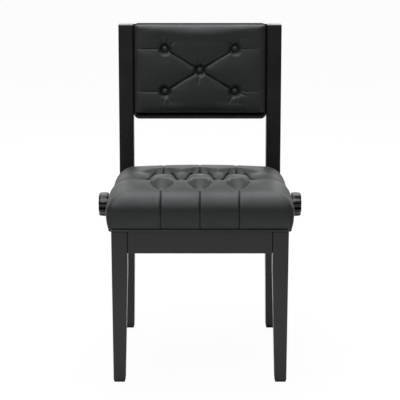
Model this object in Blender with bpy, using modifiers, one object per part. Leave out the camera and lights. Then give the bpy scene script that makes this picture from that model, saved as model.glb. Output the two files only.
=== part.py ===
"""Piano chair: a black wooden frame with a tufted back and a tufted seat on a spindle-driven scissor lift.

Metres, +Z up. The origin lies on the floor under the middle of the chair, which faces -Y.
The seat is drawn at its lowest, resting on the aprons.
"""

import math

import bmesh
import bpy
from mathutils import Matrix, Vector

# Fits between pieces
FIT = 0.0003
PLAY = 0.0006

# Legs, posts and aprons
FRAME_WIDTH = 0.445
FRAME_DEPTH = 0.430
LEG = 0.040
FRONT_FOOT = 0.0305
BACK_FOOT = 0.0345
TAPER_START = 0.305
APRON_TOP = 0.4045
APRON_HEIGHT = 0.0585
APRON_THICKNESS = 0.020
APRON_SETBACK = 0.002
BACK_APRON_SETBACK = 0.010
POST_TOP = 0.863
POST_TOP_DEPTH = 0.028
POST_RAKE = math.radians(5.3)
WOOD_EDGE = 0.002
GLIDE_HEIGHT = 0.004
GLIDE_INSET = 0.0015
GLIDE_EDGE = 0.001

# Corner blocks and the bolts that draw the legs to them
BLOCK_THICKNESS = 0.018
BLOCK_HEIGHT = 0.040
BOLT_RADIUS = 0.004
BOLT_IN_LEG = 0.022
BOLT_TAIL = 0.004
NUT_RADIUS = 0.0075
NUT_HEIGHT = 0.0065

# Back rest, measured along the raked posts
BACK_START = 0.2094
BACK_HEIGHT = 0.2571
BACK_PANEL_INSET = 0.012
BACK_PANEL_THICKNESS = 0.012
BACK_PANEL_MARGIN = 0.004
BACK_PAD_CROWN = 0.030
BACK_PAD_SHOULDER = 0.018
BACK_PAD_EDGE = 0.022
BACK_PAD_TUCK = 0.003
BACK_BUTTON_X = 0.0955
BACK_BUTTON_Y = 0.058
BACK_BUTTON_DEPTH = 0.011
BACK_FOLD_DEPTH = 0.006
BACK_PLEAT_DEPTH = 0.003
BACK_FOLD_REACH = 0.034
BACK_PAD_ROUNDING = (0.5, 0.5)

# Seat box and its cushion
SEAT_OVERHANG = 0.013
SEAT_POST_GAP = 0.003
SEAT_PADDING = 0.020
SEAT_BOX_HEIGHT = 0.036
SEAT_BOX_WALL = 0.016
SEAT_BOARD_THICKNESS = 0.009
BOARD_EDGE = 0.001
HEM_LIFT = 0.006
HEM_TUCK = 0.008
SEAT_CROWN = 0.0555
SEAT_SHOULDER = 0.0055
SEAT_SIDE_ROLL = 0.060
SEAT_END_ROLL = 0.050
# Shares of a full round that the front and back corners take
SEAT_ROUNDING = (0.37, 0.70)
# How the crown and the shoulder sink towards the back, and the crown towards the back corners
SEAT_FALL_START = 0.087
SEAT_FALL_LENGTH = 0.213
SEAT_CROWN_FALL = 0.012
SEAT_CORNER_FALL = 0.005
SEAT_SHOULDER_FALL = 0.035
# Rows of the side, each as share of the way down, share of the tuck drawn in, squareness of the corner
SEAT_SIDE_ROWS = ((0.6, 0.2, 0.55), (1.0, 1.0, 0.9))
SEAT_TUFT_X = 0.098
SEAT_TUFT_Y = 0.085
SEAT_TUFT_SHIFT = -0.007
SEAT_BUTTON_DEPTH = 0.028
SEAT_FOLD_DEPTH = 0.012
SEAT_PLEAT_DEPTH = 0.004
SEAT_SIDE_PLEAT_DEPTH = 0.008
SEAT_FOLD_REACH = 0.030

# Upholstery buttons
BUTTON_RADIUS = 0.0085
BUTTON_HEIGHT = 0.006
BUTTON_WELL = 0.002

# Scissor lift
SPINDLE_RISE = 0.0197
LIFT_TRAVEL = 0.085
ARM_LENGTH = 0.300
PIVOT_DROP = 0.045
ARM_WIDTH = 0.024
ARM_THICKNESS = 0.004
RAIL_THICKNESS = 0.003
LIFT_SIDE_ROOM = 0.105
LOWER_RAIL_HEIGHT = 0.040
LOWER_RAIL_TAB = 0.025
UPPER_RAIL_FLANGE = 0.022
UPPER_RAIL_LENGTH = 0.345
UPPER_RAIL_DROP = 0.014
PIN_RADIUS = 0.005
COLLAR_RADIUS = 0.008
PIN_HEAD = 0.0025
ROLL_CLEARANCE = 0.0014
NUT_PIN_RADIUS = 0.004
NUT_BAR_RADIUS = 0.007
NUT_BOSS_RADIUS = 0.013
NUT_BOSS_LENGTH = 0.022
NUT_SLACK = 0.0045

# Spindle, its bearings and the hand knobs
SPINDLE_RADIUS = 0.006
SPINDLE_COLLAR_RADIUS = 0.009
SPINDLE_COLLAR = 0.005
SPINDLE_HOLE_RADIUS = 0.008
BEARING_WIDTH = 0.044
BEARING_HEIGHT = 0.026
BEARING_DROP = 0.012
BEARING_THICKNESS = 0.003
KNOB_RADIUS = 0.0310
KNOB_LENGTH = 0.027
KNOB_GAP = 0.0025
KNOB_LOBES = 8
KNOB_FLUTE = 0.0028
KNOB_EDGE = 0.0045
KNOB_HUB_RADIUS = 0.017
KNOB_HUB = 0.005
KNOB_WALL = 0.008

# Facets
ROUND_SIDES = 16
BUTTON_SIDES = 10
LATTICE_CELLS = 4
RIM_CELLS = 3
KNOB_TURNS = (0.0, math.pi / 4, math.pi / 2)
CUT_THROUGH = 0.002
WELL_TOOL = 0.040

# Levels and planes that follow from the sizes
POST_SHIFT = math.tan(POST_RAKE) * (POST_TOP - APRON_TOP)
REAR_REACH = FRAME_DEPTH - LEG + POST_SHIFT + POST_TOP_DEPTH
FRONT_Y = (SEAT_OVERHANG - REAR_REACH) / 2
BACK_Y = FRONT_Y + FRAME_DEPTH
POST_FRONT_Y = BACK_Y - LEG
INNER_HALF = FRAME_WIDTH / 2 - LEG
SIDE_APRON_INNER = FRAME_WIDTH / 2 - APRON_SETBACK - APRON_THICKNESS
CUSHION_WIDTH = FRAME_WIDTH + 2 * SEAT_OVERHANG
CUSHION_DEPTH = FRAME_DEPTH - LEG + SEAT_OVERHANG - SEAT_POST_GAP
SEAT_WIDTH = CUSHION_WIDTH - 2 * SEAT_PADDING
SEAT_DEPTH = CUSHION_DEPTH - 2 * SEAT_PADDING
SEAT_Y = FRONT_Y - SEAT_OVERHANG + CUSHION_DEPTH / 2
LIFT_INNER_SPAN = SEAT_DEPTH - 2 * LIFT_SIDE_ROOM
BOX_BOTTOM = APRON_TOP + FIT
BOX_TOP = BOX_BOTTOM + SEAT_BOX_HEIGHT
BOARD_BOTTOM = BOX_TOP + FIT
BOARD_TOP = BOARD_BOTTOM + SEAT_BOARD_THICKNESS
SPINDLE_Z = BOX_BOTTOM + SPINDLE_RISE
LOWER_PIVOT_Z = SPINDLE_Z - PIVOT_DROP
ARM_ANGLE = math.asin(PIVOT_DROP / ARM_LENGTH)
ARM_ANGLE_RAISED = math.asin((PIVOT_DROP + LIFT_TRAVEL) / ARM_LENGTH)
ARM_REACH = ARM_LENGTH * math.cos(ARM_ANGLE)
ARM_REACH_RAISED = ARM_LENGTH * math.cos(ARM_ANGLE_RAISED)
PIVOT_X = -ARM_REACH / 2
SLIDE_X = ARM_REACH / 2
SLIDE_X_RAISED = PIVOT_X + ARM_REACH_RAISED

# Planes of the lift, as distances outward from the middle of the seat
UPPER_WEB = (LIFT_INNER_SPAN / 2, LIFT_INNER_SPAN / 2 + RAIL_THICKNESS)
DRIVE_ARM = (UPPER_WEB[1] + PLAY, UPPER_WEB[1] + PLAY + ARM_THICKNESS)
FOLLOW_ARM = (DRIVE_ARM[1] + PLAY, DRIVE_ARM[1] + PLAY + ARM_THICKNESS)
LOWER_WEB = (FOLLOW_ARM[1] + PLAY, FOLLOW_ARM[1] + PLAY + RAIL_THICKNESS)


def clear_scene():
    """Remove whatever the file opened with."""
    for obj in list(bpy.data.objects):
        bpy.data.objects.remove(obj)


def new_collection(name):
    """Add a collection to the scene."""
    collection = bpy.data.collections.new(name)
    bpy.context.scene.collection.children.link(collection)
    return collection


def new_material(name, colour, roughness, metallic=0.0):
    """Make a plain Principled material."""
    material = bpy.data.materials.new(name)
    material.use_nodes = True
    shader = material.node_tree.nodes["Principled BSDF"]
    shader.inputs["Base Color"].default_value = (*colour, 1.0)
    shader.inputs["Roughness"].default_value = roughness
    shader.inputs["Metallic"].default_value = metallic
    return material


def group(name, location, rotation_x=0.0):
    """Add an empty that carries the pieces of one moving group."""
    empty = bpy.data.objects.new(name, None)
    empty.empty_display_size = LEG
    empty.location = location
    empty.rotation_euler = (rotation_x, 0.0, 0.0)
    chair.objects.link(empty)
    bpy.context.view_layer.update()
    return empty


def piece(name, bm, material, matrix, parent):
    """Turn a bmesh into a named piece that hangs on its group and stands where matrix puts it."""
    bmesh.ops.recalc_face_normals(bm, faces=bm.faces)
    mesh = bpy.data.meshes.new(name)
    bm.to_mesh(mesh)
    bm.free()
    mesh.materials.append(material)
    obj = bpy.data.objects.new(name, mesh)
    obj.parent = parent
    obj.matrix_local = parent.matrix_world.inverted() @ matrix
    chair.objects.link(obj)
    return obj


def cutter(name, bm, matrix):
    """Turn a bmesh into a hidden tool for a Boolean."""
    bmesh.ops.recalc_face_normals(bm, faces=bm.faces)
    mesh = bpy.data.meshes.new(name)
    bm.to_mesh(mesh)
    bm.free()
    obj = bpy.data.objects.new(name, mesh)
    obj.matrix_world = matrix
    obj.hide_render = True
    obj.display_type = 'WIRE'
    cutters.objects.link(obj)
    return obj


def boolean(obj, tool, operation='DIFFERENCE'):
    """Cut a piece with a tool, or join the tool to it."""
    modifier = obj.modifiers.new(tool.name, 'BOOLEAN')
    modifier.operation = operation
    modifier.solver = 'EXACT'
    modifier.object = tool


def ease(obj, width):
    """Round the edges of a piece."""
    modifier = obj.modifiers.new("eased_edges", 'BEVEL')
    modifier.width = width
    modifier.segments = 2
    modifier.limit_method = 'ANGLE'


def at(x, y, z):
    """Matrix of a plain move."""
    return Matrix.Translation((x, y, z))


def along_y(x, y, z):
    """Matrix that lays a piece's own Z along world -Y at a point."""
    return at(x, y, z) @ Matrix.Rotation(math.pi / 2, 4, 'X')


def along_x(x, y, z, side):
    """Matrix that lays a piece's own Z outward along world X on one side."""
    return at(x, y, z) @ Matrix.Rotation(side * math.pi / 2, 4, 'Y')


def block(size):
    """Bmesh of a box about its own centre."""
    bm = bmesh.new()
    bmesh.ops.create_cube(bm, size=1.0)
    bmesh.ops.scale(bm, vec=size, verts=bm.verts)
    return bm


def cylinder(radius, start, end, sides=ROUND_SIDES):
    """Bmesh of a round bar along its own Z."""
    bm = bmesh.new()
    bmesh.ops.create_cone(bm, cap_ends=True, segments=sides, radius1=radius, radius2=radius,
                          depth=end - start)
    bmesh.ops.translate(bm, vec=(0, 0, (start + end) / 2), verts=bm.verts)
    return bm


def turned(profile):
    """Bmesh of a bar turned about its own Z from radius and height pairs, from one end to the other."""
    bm = bmesh.new()
    chain = [bm.verts.new((radius, 0, height)) for radius, height in profile]
    edges = [bm.edges.new(pair) for pair in zip(chain, chain[1:])]
    bmesh.ops.spin(bm, geom=chain + edges, cent=(0, 0, 0), axis=(0, 0, 1), angle=math.tau,
                   steps=ROUND_SIDES, use_merge=True)
    bmesh.ops.remove_doubles(bm, verts=bm.verts, dist=1e-6)
    return bm


def stadium(start, end, radius):
    """Outline of a slot between two points of a line, or of a round hole where they are one point."""
    points = []
    for index in range(ROUND_SIDES):
        angle = math.tau * (index + 0.5) / ROUND_SIDES
        centre = end if math.cos(angle) > 0 else start
        points.append((centre + radius * math.cos(angle), radius * math.sin(angle)))
    return points


def plate(outlines, thickness):
    """Bmesh of a flat plate about its own XY plane: first its edge outline, then its openings."""
    curve = bpy.data.curves.new("plate_outline", 'CURVE')
    curve.dimensions = '2D'
    curve.fill_mode = 'BOTH'
    curve.extrude = thickness / 2
    for outline in outlines:
        spline = curve.splines.new('POLY')
        spline.points.add(len(outline) - 1)
        spline.use_cyclic_u = True
        for point, (x, y) in zip(spline.points, outline):
            point.co = (x, y, 0.0, 1.0)
    drawn = bpy.data.objects.new("plate_outline", curve)
    cutters.objects.link(drawn)
    mesh = bpy.data.meshes.new_from_object(drawn.evaluated_get(bpy.context.evaluated_depsgraph_get()))
    bm = bmesh.new()
    bm.from_mesh(mesh)
    bmesh.ops.remove_doubles(bm, verts=bm.verts, dist=1e-6)
    bpy.data.objects.remove(drawn)
    bpy.data.curves.remove(curve)
    bpy.data.meshes.remove(mesh)
    return bm


def strip(path, sweep):
    """Bmesh of an open sheet: a bent line swept straight."""
    bm = bmesh.new()
    line = [bm.verts.new(point) for point in path]
    edges = [bm.edges.new(pair) for pair in zip(line, line[1:])]
    swept = bmesh.ops.extrude_edge_only(bm, edges=edges)["geom"]
    moved = [item for item in swept if isinstance(item, bmesh.types.BMVert)]
    bmesh.ops.translate(bm, vec=sweep, verts=moved)
    return bm


def sheet(name, path, sweep, material, parent):
    """Piece of bent sheet whose middle plane follows the path."""
    obj = piece(name, strip(path, sweep), material, at(0, 0, 0), parent)
    modifier = obj.modifiers.new("sheet_thickness", 'SOLIDIFY')
    modifier.thickness = RAIL_THICKNESS
    modifier.offset = 0.0
    modifier.use_even_offset = True
    return obj


def board(name, size, centre, material, parent, edge):
    """Piece of board with eased edges."""
    obj = piece(name, block(size), material, at(*centre), parent)
    ease(obj, edge)
    return obj


def extrude_end(bm, top, place):
    """Draw the top or bottom face of a bar further and put its corners where place says."""
    level = (max if top else min)(vert.co.z for vert in bm.verts)
    end = [face for face in bm.faces if all(abs(vert.co.z - level) < FIT for vert in face.verts)]
    drawn = bmesh.ops.extrude_face_region(bm, geom=end)["geom"]
    for vert in [item for item in drawn if isinstance(item, bmesh.types.BMVert)]:
        vert.co = place(vert.co)
    bmesh.ops.delete(bm, geom=end, context='FACES_ONLY')


def leg(name, side, front, foot):
    """Front leg, or back leg that runs on into a raked post. X and Y run inward from the outer corner."""
    bm = block((LEG, LEG, APRON_TOP - TAPER_START))
    bmesh.ops.translate(bm, vec=(LEG / 2, LEG / 2, (APRON_TOP + TAPER_START) / 2), verts=bm.verts)
    taper = foot / LEG
    extrude_end(bm, False, lambda co: Vector((co.x * taper, co.y * taper, GLIDE_HEIGHT + FIT)))
    if not front:
        depth = POST_TOP_DEPTH / LEG
        extrude_end(bm, True, lambda co: Vector((co.x, LEG - POST_SHIFT - (LEG - co.y) * depth, POST_TOP)))
    outer_y = FRONT_Y if front else BACK_Y
    inward = 1 if front else -1
    bmesh.ops.scale(bm, vec=(-side, inward, 1), verts=bm.verts)
    obj = piece(name, bm, black_wood, at(side * FRAME_WIDTH / 2, outer_y, 0), frame)
    ease(obj, WOOD_EDGE)
    return obj


def foot_glide(name, side, front, foot):
    """Plastic glide under one leg."""
    size = foot - 2 * GLIDE_INSET
    x = side * (FRAME_WIDTH / 2 - foot / 2)
    y = FRONT_Y + foot / 2 if front else BACK_Y - foot / 2
    board(name, (size, size, GLIDE_HEIGHT), (x, y, GLIDE_HEIGHT / 2), glide_plastic, frame, GLIDE_EDGE)


def corner(name, side, front, joined_leg):
    """Corner block across two aprons and the bolt that draws the leg against it."""
    inward = 1 if front else -1
    leg_y = FRONT_Y + LEG if front else POST_FRONT_Y
    to_side = LEG - APRON_SETBACK - APRON_THICKNESS - FIT
    to_cross = to_side if front else BACK_APRON_SETBACK - FIT
    outer = FIT * math.sqrt(2)
    inner = outer + BLOCK_THICKNESS * math.sqrt(2)
    outline = [(outer + to_cross, -to_cross), (inner + to_cross, -to_cross), (-to_side, inner + to_side),
               (-to_side, outer + to_side)]
    bm = plate([outline], BLOCK_HEIGHT)
    bmesh.ops.scale(bm, vec=(-side, inward, 1), verts=bm.verts)
    middle_z = APRON_TOP - APRON_HEIGHT / 2
    corner_point = Vector((side * INNER_HALF, leg_y, middle_z))
    brace = piece("corner_block_" + name, bm, raw_wood, Matrix.Translation(corner_point), frame)
    axis = Vector((-side, inward, 0)).to_track_quat('Z', 'Y').to_matrix().to_4x4()
    stand = Matrix.Translation(corner_point) @ axis
    inner_face = FIT + BLOCK_THICKNESS
    drill = cylinder(BOLT_RADIUS + FIT, -BOLT_IN_LEG - FIT, inner_face + CUT_THROUGH)
    hole = cutter("bolt_hole_" + name, drill, stand)
    boolean(brace, hole)
    boolean(joined_leg, hole)
    nut_start = inner_face + FIT
    shank_end = nut_start + NUT_HEIGHT + BOLT_TAIL
    bolt = piece("leg_bolt_" + name, cylinder(BOLT_RADIUS, -BOLT_IN_LEG, shank_end), steel, stand, frame)
    hexagon = cylinder(NUT_RADIUS, nut_start, nut_start + NUT_HEIGHT, 6)
    boolean(bolt, cutter("bolt_nut_" + name, hexagon, stand), 'UNION')


def aprons():
    """Four rails that tie the legs together under the seat."""
    middle_z = APRON_TOP - APRON_HEIGHT / 2
    cross = (2 * (INNER_HALF - FIT), APRON_THICKNESS, APRON_HEIGHT)
    front_y = FRONT_Y + APRON_SETBACK + APRON_THICKNESS / 2
    back_y = POST_FRONT_Y + BACK_APRON_SETBACK + APRON_THICKNESS / 2
    board("front_apron", cross, (0, front_y, middle_z), black_wood, frame, WOOD_EDGE)
    board("back_apron", cross, (0, back_y, middle_z), black_wood, frame, WOOD_EDGE)
    length = (APRON_THICKNESS, FRAME_DEPTH - 2 * LEG - 2 * FIT, APRON_HEIGHT)
    for side, word in ((-1, "left"), (1, "right")):
        x = side * (SIDE_APRON_INNER + APRON_THICKNESS / 2)
        centre = (x, (FRONT_Y + BACK_Y) / 2, middle_z)
        board("side_apron_" + word, length, centre, black_wood, frame, WOOD_EDGE)


class TuftedPad:
    """Crowned pad with rolled edges, drawn in at its buttons and along the folds between them."""

    def __init__(self, size, rolls, rounding, levels, pitch, shift, buttons, folds, reach):
        self.half = [length / 2 for length in size]
        self.rolls = rolls
        self.rounding = rounding
        self.levels = levels
        self.pitch = pitch
        self.shift = (0.0, shift)
        self.buttons = [Vector(point) for point in buttons]
        self.folds = [(Vector(start), Vector(end), depth, last) for start, end, depth, last in folds]
        self.reach = reach

    def stations(self, axis):
        """Grid lines across the pad: even between the buttons, closer round the edge."""
        step = self.pitch[axis] / LATTICE_CELLS
        shift = self.shift[axis]
        inner = self.half[axis] - self.rolls[axis]
        first = math.ceil((step / 2 - inner - shift) / step)
        last = math.floor((inner - step / 2 - shift) / step)
        even = [shift + step * index for index in range(first, last + 1)]
        turns = [math.pi / 2 * part / RIM_CELLS for part in range(RIM_CELLS + 1)]
        rim = [inner + self.rolls[axis] * math.sin(turn) for turn in turns]
        return [-value for value in reversed(rim)] + even + rim

    def drop(self, point):
        """How far the surface is drawn in at a point by the deepest fold that reaches it."""
        pulls = [0.0]
        for start, end, depth, last in self.folds:
            run = end - start
            share = max(0.0, min(1.0, (point - start).dot(run) / run.length_squared))
            gap = (point - start - run * share).length
            cusp = 1 - math.sin(math.pi / 2 * min(gap / self.reach, 1.0))
            pulls.append((depth + (last - depth) * share) * cusp)
        return max(pulls)

    def surface(self, x, y):
        """Point over a grid crossing, the outward direction there and the way to a square corner."""
        flat = [half - roll for half, roll in zip(self.half, self.rolls)]
        over = [max(0.0, abs(value) - limit) / roll
                for value, limit, roll in zip((x, y), flat, self.rolls)]
        steep = max(over)
        length = math.hypot(*over)
        short = (1 - steep / length) * self.rounding[y > 0] if length else 0.0
        inner = [math.copysign(min(abs(value), limit), value) for value, limit in zip((x, y), flat)]
        reach = [math.copysign(part * roll, value) for part, roll, value in zip(over, self.rolls, (x, y))]
        outward = Vector((*reach, 0.0))
        to_square = outward * short
        plan = Vector((*inner, 0.0)) + outward - to_square
        if length:
            outward.normalize()
        rise = math.sqrt(max(0.0, 1 - steep * steep))
        shoulder, crown = self.levels(plan)
        level = Vector((0, 0, shoulder + (crown - shoulder) * rise))
        normal = outward * steep + Vector((0, 0, rise))
        return plan + level - normal * self.drop(plan.xy), outward, to_square

    def bottom_of(self, button):
        """Level of the surface under a button."""
        return self.surface(*button)[0].z

    def build(self, hem, walls):
        """Bmesh of the pad; walls lists share of the way to the hem, outward move and corner squareness."""
        columns = self.stations(0)
        rows = self.stations(1)
        bm = bmesh.new()
        bmesh.ops.create_grid(bm, x_segments=len(columns) - 1, y_segments=len(rows) - 1, size=0.5)
        outward = {}
        to_square = {}
        for vert in bm.verts:
            column = round((vert.co.x + 0.5) * (len(columns) - 1))
            row = round((vert.co.y + 0.5) * (len(rows) - 1))
            vert.co, outward[vert], to_square[vert] = self.surface(columns[column], rows[row])
        self.split_along_valleys(bm)
        rim = [edge for edge in bm.edges if edge.is_boundary]
        start = {vert: vert for edge in rim for vert in edge.verts}
        for share, move, square in walls:
            drawn = bmesh.ops.extrude_edge_only(bm, edges=rim)["geom"]
            lower = {}
            for vert in [item for item in drawn if isinstance(item, bmesh.types.BMVert)]:
                origin = min(start, key=lambda known: (known.co - vert.co).length_squared)
                lower[vert] = start[origin]
            for vert, top in lower.items():
                vert.co = top.co + outward[top] * move + to_square[top] * square
                vert.co.z = top.co.z + (hem - top.co.z) * share
            rim = [item for item in drawn if isinstance(item, bmesh.types.BMEdge) and item.is_boundary]
            start = lower
        bmesh.ops.contextual_create(bm, geom=rim)
        return bm

    @staticmethod
    def split_along_valleys(bm):
        """Divide each square of the top along its lower diagonal, so that folds stay sharp."""
        for face in list(bm.faces):
            first, second, third, fourth = face.verts
            crossing = [(first, third), (second, fourth)]
            bmesh.utils.face_split(face, *min(crossing, key=lambda pair: pair[0].co.z + pair[1].co.z))


def sagging_fold(start, end, depth, middle_depth):
    """Fold between two buttons as two halves, deep at the buttons and shallower midway."""
    middle = ((start[0] + end[0]) / 2, (start[1] + end[1]) / 2)
    return [(start, middle, depth, middle_depth), (end, middle, depth, middle_depth)]


def button_wells(name, pad, matrix):
    """Tool that sinks a flat well for each button of a pad."""
    wells = bmesh.new()
    for button in pad.buttons:
        floor = pad.bottom_of(button) - BUTTON_WELL
        radius = BUTTON_RADIUS + FIT
        made = bmesh.ops.create_cone(wells, cap_ends=True, segments=BUTTON_SIDES, radius1=radius,
                                     radius2=radius, depth=WELL_TOOL)
        bmesh.ops.translate(wells, vec=(button.x, button.y, floor + WELL_TOOL / 2), verts=made["verts"])
    return cutter(name, wells, matrix)


def upholstery_buttons(prefix, pad, matrix, parent):
    """Covered buttons, one in each well."""
    for number, button in enumerate(pad.buttons, 1):
        bm = bmesh.new()
        bmesh.ops.create_uvsphere(bm, u_segments=BUTTON_SIDES, v_segments=4, radius=1.0)
        bmesh.ops.scale(bm, vec=(BUTTON_RADIUS, BUTTON_RADIUS, BUTTON_HEIGHT / 2), verts=bm.verts)
        middle = pad.bottom_of(button) - BUTTON_WELL + FIT + BUTTON_HEIGHT / 2
        piece(f"{prefix}_button_{number}", bm, leather, matrix @ at(button.x, button.y, middle), parent)


def back_rest():
    """Back panel, its tufted pad and five buttons, all on the rake of the posts."""
    middle = BACK_START + BACK_HEIGHT / 2
    rake = back.matrix_world
    half_width = INNER_HALF - FIT
    panel_size = (2 * half_width, BACK_PANEL_THICKNESS, BACK_HEIGHT - 2 * BACK_PANEL_MARGIN)
    panel_y = BACK_PANEL_INSET + BACK_PANEL_THICKNESS / 2
    panel = piece("back_panel", block(panel_size), leather, rake @ at(0, panel_y, middle), back)
    ease(panel, BOARD_EDGE)
    x, y = BACK_BUTTON_X, BACK_BUTTON_Y
    corners = [(-x, y), (x, y), (-x, -y), (x, -y)]
    folds = []
    for point in corners:
        folds += sagging_fold((0, 0), point, BACK_BUTTON_DEPTH, BACK_FOLD_DEPTH)
        side = (math.copysign(half_width, point[0]), point[1])
        folds.append((point, side, BACK_BUTTON_DEPTH, BACK_PLEAT_DEPTH))
    pad = TuftedPad((2 * (half_width - PLAY), BACK_HEIGHT), (BACK_PAD_EDGE, BACK_PAD_EDGE),
                    BACK_PAD_ROUNDING, lambda plan: (BACK_PAD_SHOULDER, BACK_PAD_CROWN),
                    (x, y), 0.0, [(0, 0)] + corners, folds, BACK_FOLD_REACH)
    walls = [(0.5, 0.0, 0.0), (1.0, -BACK_PAD_TUCK, 0.0)]
    stand = rake @ along_y(0, BACK_PANEL_INSET - FIT, middle)
    cushion = piece("back_cushion", pad.build(0.0, walls), leather, stand, back)
    boolean(cushion, button_wells("back_button_wells", pad, stand))
    upholstery_buttons("back", pad, stand, back)


def seat_box():
    """Four boards under a plywood top, with holes for the spindle in the side boards."""
    middle_z = (BOX_BOTTOM + BOX_TOP) / 2
    long_board = (SEAT_WIDTH, SEAT_BOX_WALL, SEAT_BOX_HEIGHT)
    shift = (SEAT_DEPTH - SEAT_BOX_WALL) / 2
    board("seat_box_front", long_board, (0, SEAT_Y - shift, middle_z), black_wood, seat, BOARD_EDGE)
    board("seat_box_back", long_board, (0, SEAT_Y + shift, middle_z), black_wood, seat, BOARD_EDGE)
    short_board = (SEAT_BOX_WALL, SEAT_DEPTH - 2 * SEAT_BOX_WALL - 2 * FIT, SEAT_BOX_HEIGHT)
    spindle_hole = cutter("spindle_hole", cylinder(SPINDLE_HOLE_RADIUS, -SEAT_WIDTH, SEAT_WIDTH),
                          along_x(0, SEAT_Y, SPINDLE_Z, 1))
    for side, word in ((-1, "left"), (1, "right")):
        x = side * (SEAT_WIDTH - SEAT_BOX_WALL) / 2
        wall = board("seat_box_" + word, short_board, (x, SEAT_Y, middle_z), black_wood, seat, BOARD_EDGE)
        boolean(wall, spindle_hole)
    top = (SEAT_WIDTH, SEAT_DEPTH, SEAT_BOARD_THICKNESS)
    board("seat_board", top, (0, SEAT_Y, (BOARD_BOTTOM + BOARD_TOP) / 2), raw_wood, seat, BOARD_EDGE)
    return spindle_hole


def seat_levels(plan):
    """Shoulder and crown of the seat cushion over a point; both sink towards the back."""
    share = max(0.0, min(1.0, (plan.y + SEAT_FALL_START) / SEAT_FALL_LENGTH))
    behind = share * share * (3 - 2 * share)
    aside = min(1.0, abs(plan.x) / (CUSHION_WIDTH / 2 - SEAT_SIDE_ROLL)) ** 2
    crown = SEAT_CROWN - (SEAT_CROWN_FALL + SEAT_CORNER_FALL * aside) * behind
    return SEAT_SHOULDER - SEAT_SHOULDER_FALL * behind, crown


def seat_cushion(spindle_hole):
    """Tufted cushion that wraps the seat box, and its ten buttons."""
    x, y = SEAT_TUFT_X, SEAT_TUFT_Y
    front = [(column * x, SEAT_TUFT_SHIFT - y) for column in (-1, 0, 1)]
    middle = [(column * x, SEAT_TUFT_SHIFT) for column in (-1.5, -0.5, 0.5, 1.5)]
    rear = [(column * x, SEAT_TUFT_SHIFT + y) for column in (-1, 0, 1)]
    folds = []
    for outer in front + rear:
        for inner in middle:
            if abs(outer[0] - inner[0]) < x:
                folds += sagging_fold(outer, inner, SEAT_BUTTON_DEPTH, SEAT_FOLD_DEPTH)
        edge = (outer[0], math.copysign(CUSHION_DEPTH / 2, outer[1]))
        folds.append((outer, edge, SEAT_PLEAT_DEPTH, SEAT_PLEAT_DEPTH))
    for point in (middle[0], middle[-1]):
        edge = (math.copysign(CUSHION_WIDTH / 2, point[0]), point[1])
        folds.append((point, edge, SEAT_BUTTON_DEPTH, SEAT_SIDE_PLEAT_DEPTH))
    pad = TuftedPad((CUSHION_WIDTH, CUSHION_DEPTH), (SEAT_SIDE_ROLL, SEAT_END_ROLL),
                    SEAT_ROUNDING, seat_levels, (x / 2, y), SEAT_TUFT_SHIFT, front + middle + rear, folds,
                    SEAT_FOLD_REACH)
    stand = at(0, SEAT_Y, BOARD_TOP + FIT)
    hem = BOX_BOTTOM + HEM_LIFT - BOARD_TOP - FIT
    walls = [(down, -HEM_TUCK * tuck, square) for down, tuck, square in SEAT_SIDE_ROWS]
    cushion = piece("seat_cushion", pad.build(hem, walls), leather, stand, seat)
    hollow = (SEAT_WIDTH + 2 * FIT, SEAT_DEPTH + 2 * FIT, BOARD_TOP + FIT - BOX_BOTTOM)
    room = cutter("seat_box_room", block(hollow), at(0, SEAT_Y, BOARD_TOP + FIT - hollow[2] / 2))
    boolean(cushion, room)
    boolean(cushion, spindle_hole)
    boolean(cushion, button_wells("seat_button_wells", pad, stand))
    upholstery_buttons("seat", pad, stand, seat)


def span_y(plane, face):
    """World Y of the front or back copy of a lift plane, from its distance to the middle of the seat."""
    return SEAT_Y + face * plane


def middle_of(plane):
    """Middle of a lift plane's thickness."""
    return (plane[0] + plane[1]) / 2


def lift_cutter(name, x_start, x_end, z, radius):
    """Tool along Y that cuts a hole or a slot through every plate of the lift at one level."""
    bm = plate([stadium(x_start, x_end, radius)], 2 * (LOWER_WEB[1] + CUT_THROUGH))
    return cutter(name, bm, along_y(0, SEAT_Y, z))


def lower_rails():
    """Two straps between the side aprons that carry the lower ends of the arms, and their pivot rod."""
    hole = lift_cutter("lower_pivot_hole", PIVOT_X, PIVOT_X, LOWER_PIVOT_Z, PIN_RADIUS + FIT)
    slot = lift_cutter("lower_slide_slot", SLIDE_X_RAISED - ROLL_CLEARANCE, SLIDE_X + ROLL_CLEARANCE,
                       LOWER_PIVOT_Z, PIN_RADIUS + ROLL_CLEARANCE)
    end_x = SIDE_APRON_INNER - FIT - RAIL_THICKNESS / 2
    web = middle_of(LOWER_WEB)
    bottom = LOWER_PIVOT_Z - LOWER_RAIL_HEIGHT / 2
    for face, word in ((-1, "front"), (1, "back")):
        web_y = span_y(web, face)
        tab_y = span_y(web - LOWER_RAIL_TAB, face)
        plan = [(-end_x, tab_y), (-end_x, web_y), (end_x, web_y), (end_x, tab_y)]
        path = [(x, y, bottom) for x, y in plan]
        rail = sheet("lower_rail_" + word, path, (0, 0, LOWER_RAIL_HEIGHT), steel, frame)
        boolean(rail, hole)
        boolean(rail, slot)
    stand = along_y(PIVOT_X, SEAT_Y, LOWER_PIVOT_Z)
    piece("lower_pivot_rod", turned(cross_rod_profile(True)), steel, stand, frame)


def cross_rod_profile(spaced):
    """Half outline of a rod across the lift: a head outside each lower rail, and spacers where asked."""
    head = LOWER_WEB[1] + FIT
    end = head + PIN_HEAD
    half = [(0.0, end), (COLLAR_RADIUS, end), (COLLAR_RADIUS, head), (PIN_RADIUS, head)]
    if spaced:
        outer = LOWER_WEB[0] - FIT
        inner = DRIVE_ARM[1] + FIT
        half += [(PIN_RADIUS, outer), (COLLAR_RADIUS, outer), (COLLAR_RADIUS, inner), (PIN_RADIUS, inner)]
    return half + [(radius, -height) for radius, height in reversed(half)]


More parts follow.
